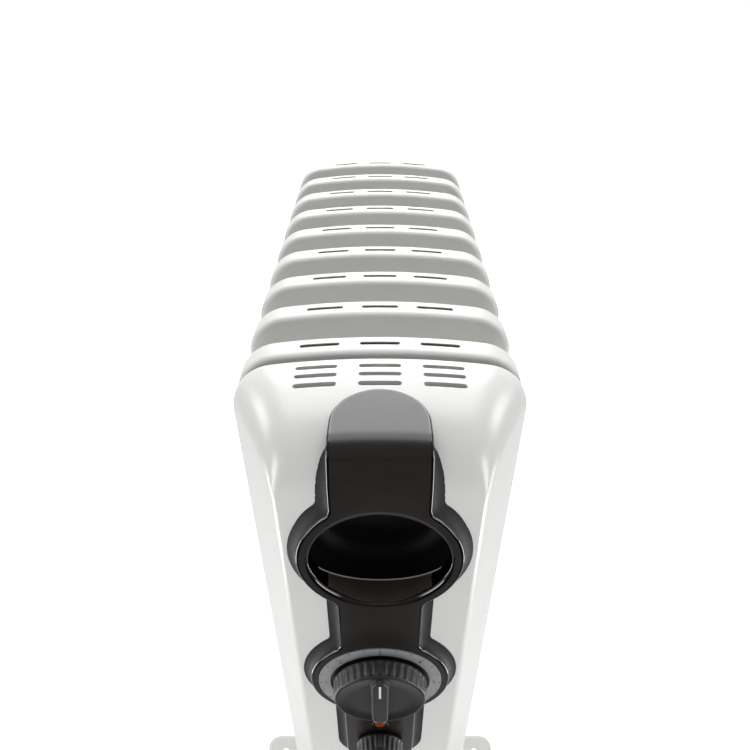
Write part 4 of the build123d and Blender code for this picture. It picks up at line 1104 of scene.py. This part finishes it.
# --- floor and light ----------------------------------------------------------------------------------
def make_floor():
    """A wide white floor that sweeps up into a white wall all round, seen by the camera only."""
    profile = [(0.5, 0.0), (4000.0, 0.0), (12000.0, 0.0)]
    for turn in range(0, 91, 10):
        angle = math.radians(turn)
        profile.append((12000 + 6000 * math.sin(angle), 6000 * (1 - math.cos(angle))))
    profile.append((18000, 22000))
    rings = [
        [(r * math.cos(2 * math.pi * i / 64), r * math.sin(2 * math.pi * i / 64), z) for i in range(64)]
        for r, z in profile
    ]
    paper = finish("paper_white", ("#f6f6f6", "#f8f8f8"), 900, (0.7, 0.75), 3.0, 0.01)
    shader = paper.node_tree.nodes["Principled BSDF"]
    shader.inputs["Emission Color"].default_value = (1, 1, 1, 1)
    shader.inputs["Emission Strength"].default_value = FLOOR_GLOW
    floor = loft_piece("floor", rings, paper, close_end=False)
    floor.data.flip_normals()
    floor.visible_diffuse = False
    floor.visible_glossy = False
    floor.visible_transmission = False
    floor.visible_shadow = False


def area_light(name, place, target, size, radiance, diffuse=True, glossy=True):
    """A soft box that faces its target and looks as bright as radiance says."""
    data = bpy.data.lights.new(name, "AREA")
    data.shape = "RECTANGLE"
    data.size, data.size_y = size
    data.energy = radiance * math.pi * size[0] * size[1]
    light = bpy.data.objects.new(name, data)
    light.location = place
    light.rotation_euler = (Vector(target) - Vector(place)).to_track_quat("-Z", "Y").to_euler()
    light.visible_camera = False
    light.visible_diffuse = diffuse
    light.visible_glossy = glossy
    bpy.context.scene.collection.objects.link(light)


def make_world():
    """A studio dome: white at the horizon, dimmer overhead and dimmest high in front and low in front."""
    world = bpy.data.worlds.new("studio")
    world.use_nodes = True
    tree = world.node_tree
    facing = add_node(tree, "ShaderNodeTexCoord").outputs["Generated"]
    axes = add_node(tree, "ShaderNodeSeparateXYZ", {"Vector": facing}).outputs

    def ramp(value, low, high, start, end):
        """A smooth change from start to end as value goes from low to high."""
        return add_node(
            tree,
            "ShaderNodeMapRange",
            {"Value": value, "From Min": low, "From Max": high, "To Min": start, "To Max": end},
            interpolation_type="SMOOTHSTEP",
        ).outputs["Result"]

    def product(a, b):
        """Two values multiplied."""
        return add_node(tree, "ShaderNodeMath", {0: a, 1: b}, operation="MULTIPLY").outputs["Value"]

    high = ramp(axes["Z"], 0.22, 0.5, 1.0, DOME_HIGH)
    ahead = ramp(axes["Y"], -0.1, -0.6, 0.0, 1.0)
    low = ramp(axes["Z"], -0.6, 0.1, FRONT_LOW, FRONT_HORIZON)
    rise = ramp(axes["Z"], 0.3, 0.65, 1.0, FRONT_HIGH / FRONT_HORIZON)
    level = product(low, rise)
    front = add_node(
        tree, "ShaderNodeMix", {0: ahead, 2: 1.0, 3: level}, data_type="FLOAT"
    ).outputs[0]
    tree.links.new(product(high, front), tree.nodes["Background"].inputs["Strength"])
    tree.nodes["Background"].inputs["Color"].default_value = (1, 1, 1, 1)
    bpy.context.scene.world = world


make_floor()
make_world()
area_light("back_softbox", (0, 3.2, 2.9), (0, 0, 0.5), (3.6, 2.2), BACK_LIGHT, diffuse=False)
area_light("top_softbox", (0, 0.7, 3.6), (0, 0, 0.5), (3.0, 2.4), TOP_LIGHT)
for side in (-1, 1):
    for name, place, target, size, radiance in (
        ("side_softbox", (side * 2.8, 0.3, 1.5), (0, 0, 0.5), (1.2, 1.2), SIDE_LIGHT),
        ("rim_glint", (side * 2.4, -1.95, 0.2), (0, -0.2, 0.5), (0.9, 2.2), RIM_LIGHT),
        ("edge_glint", (side * 2.6, -0.1, -1.5), (0, -0.1, 0.5), (0.9, 1.6), EDGE_LIGHT),
    ):
        area_light(name, place, target, size, radiance, diffuse=False)
area_light("front_fill", (0, -2.6, -1.2), (0, -0.1, 0.45), (3.0, 1.6), FRONT_LIGHT, glossy=False)
bpy.context.scene.view_settings.view_transform = "Standard"
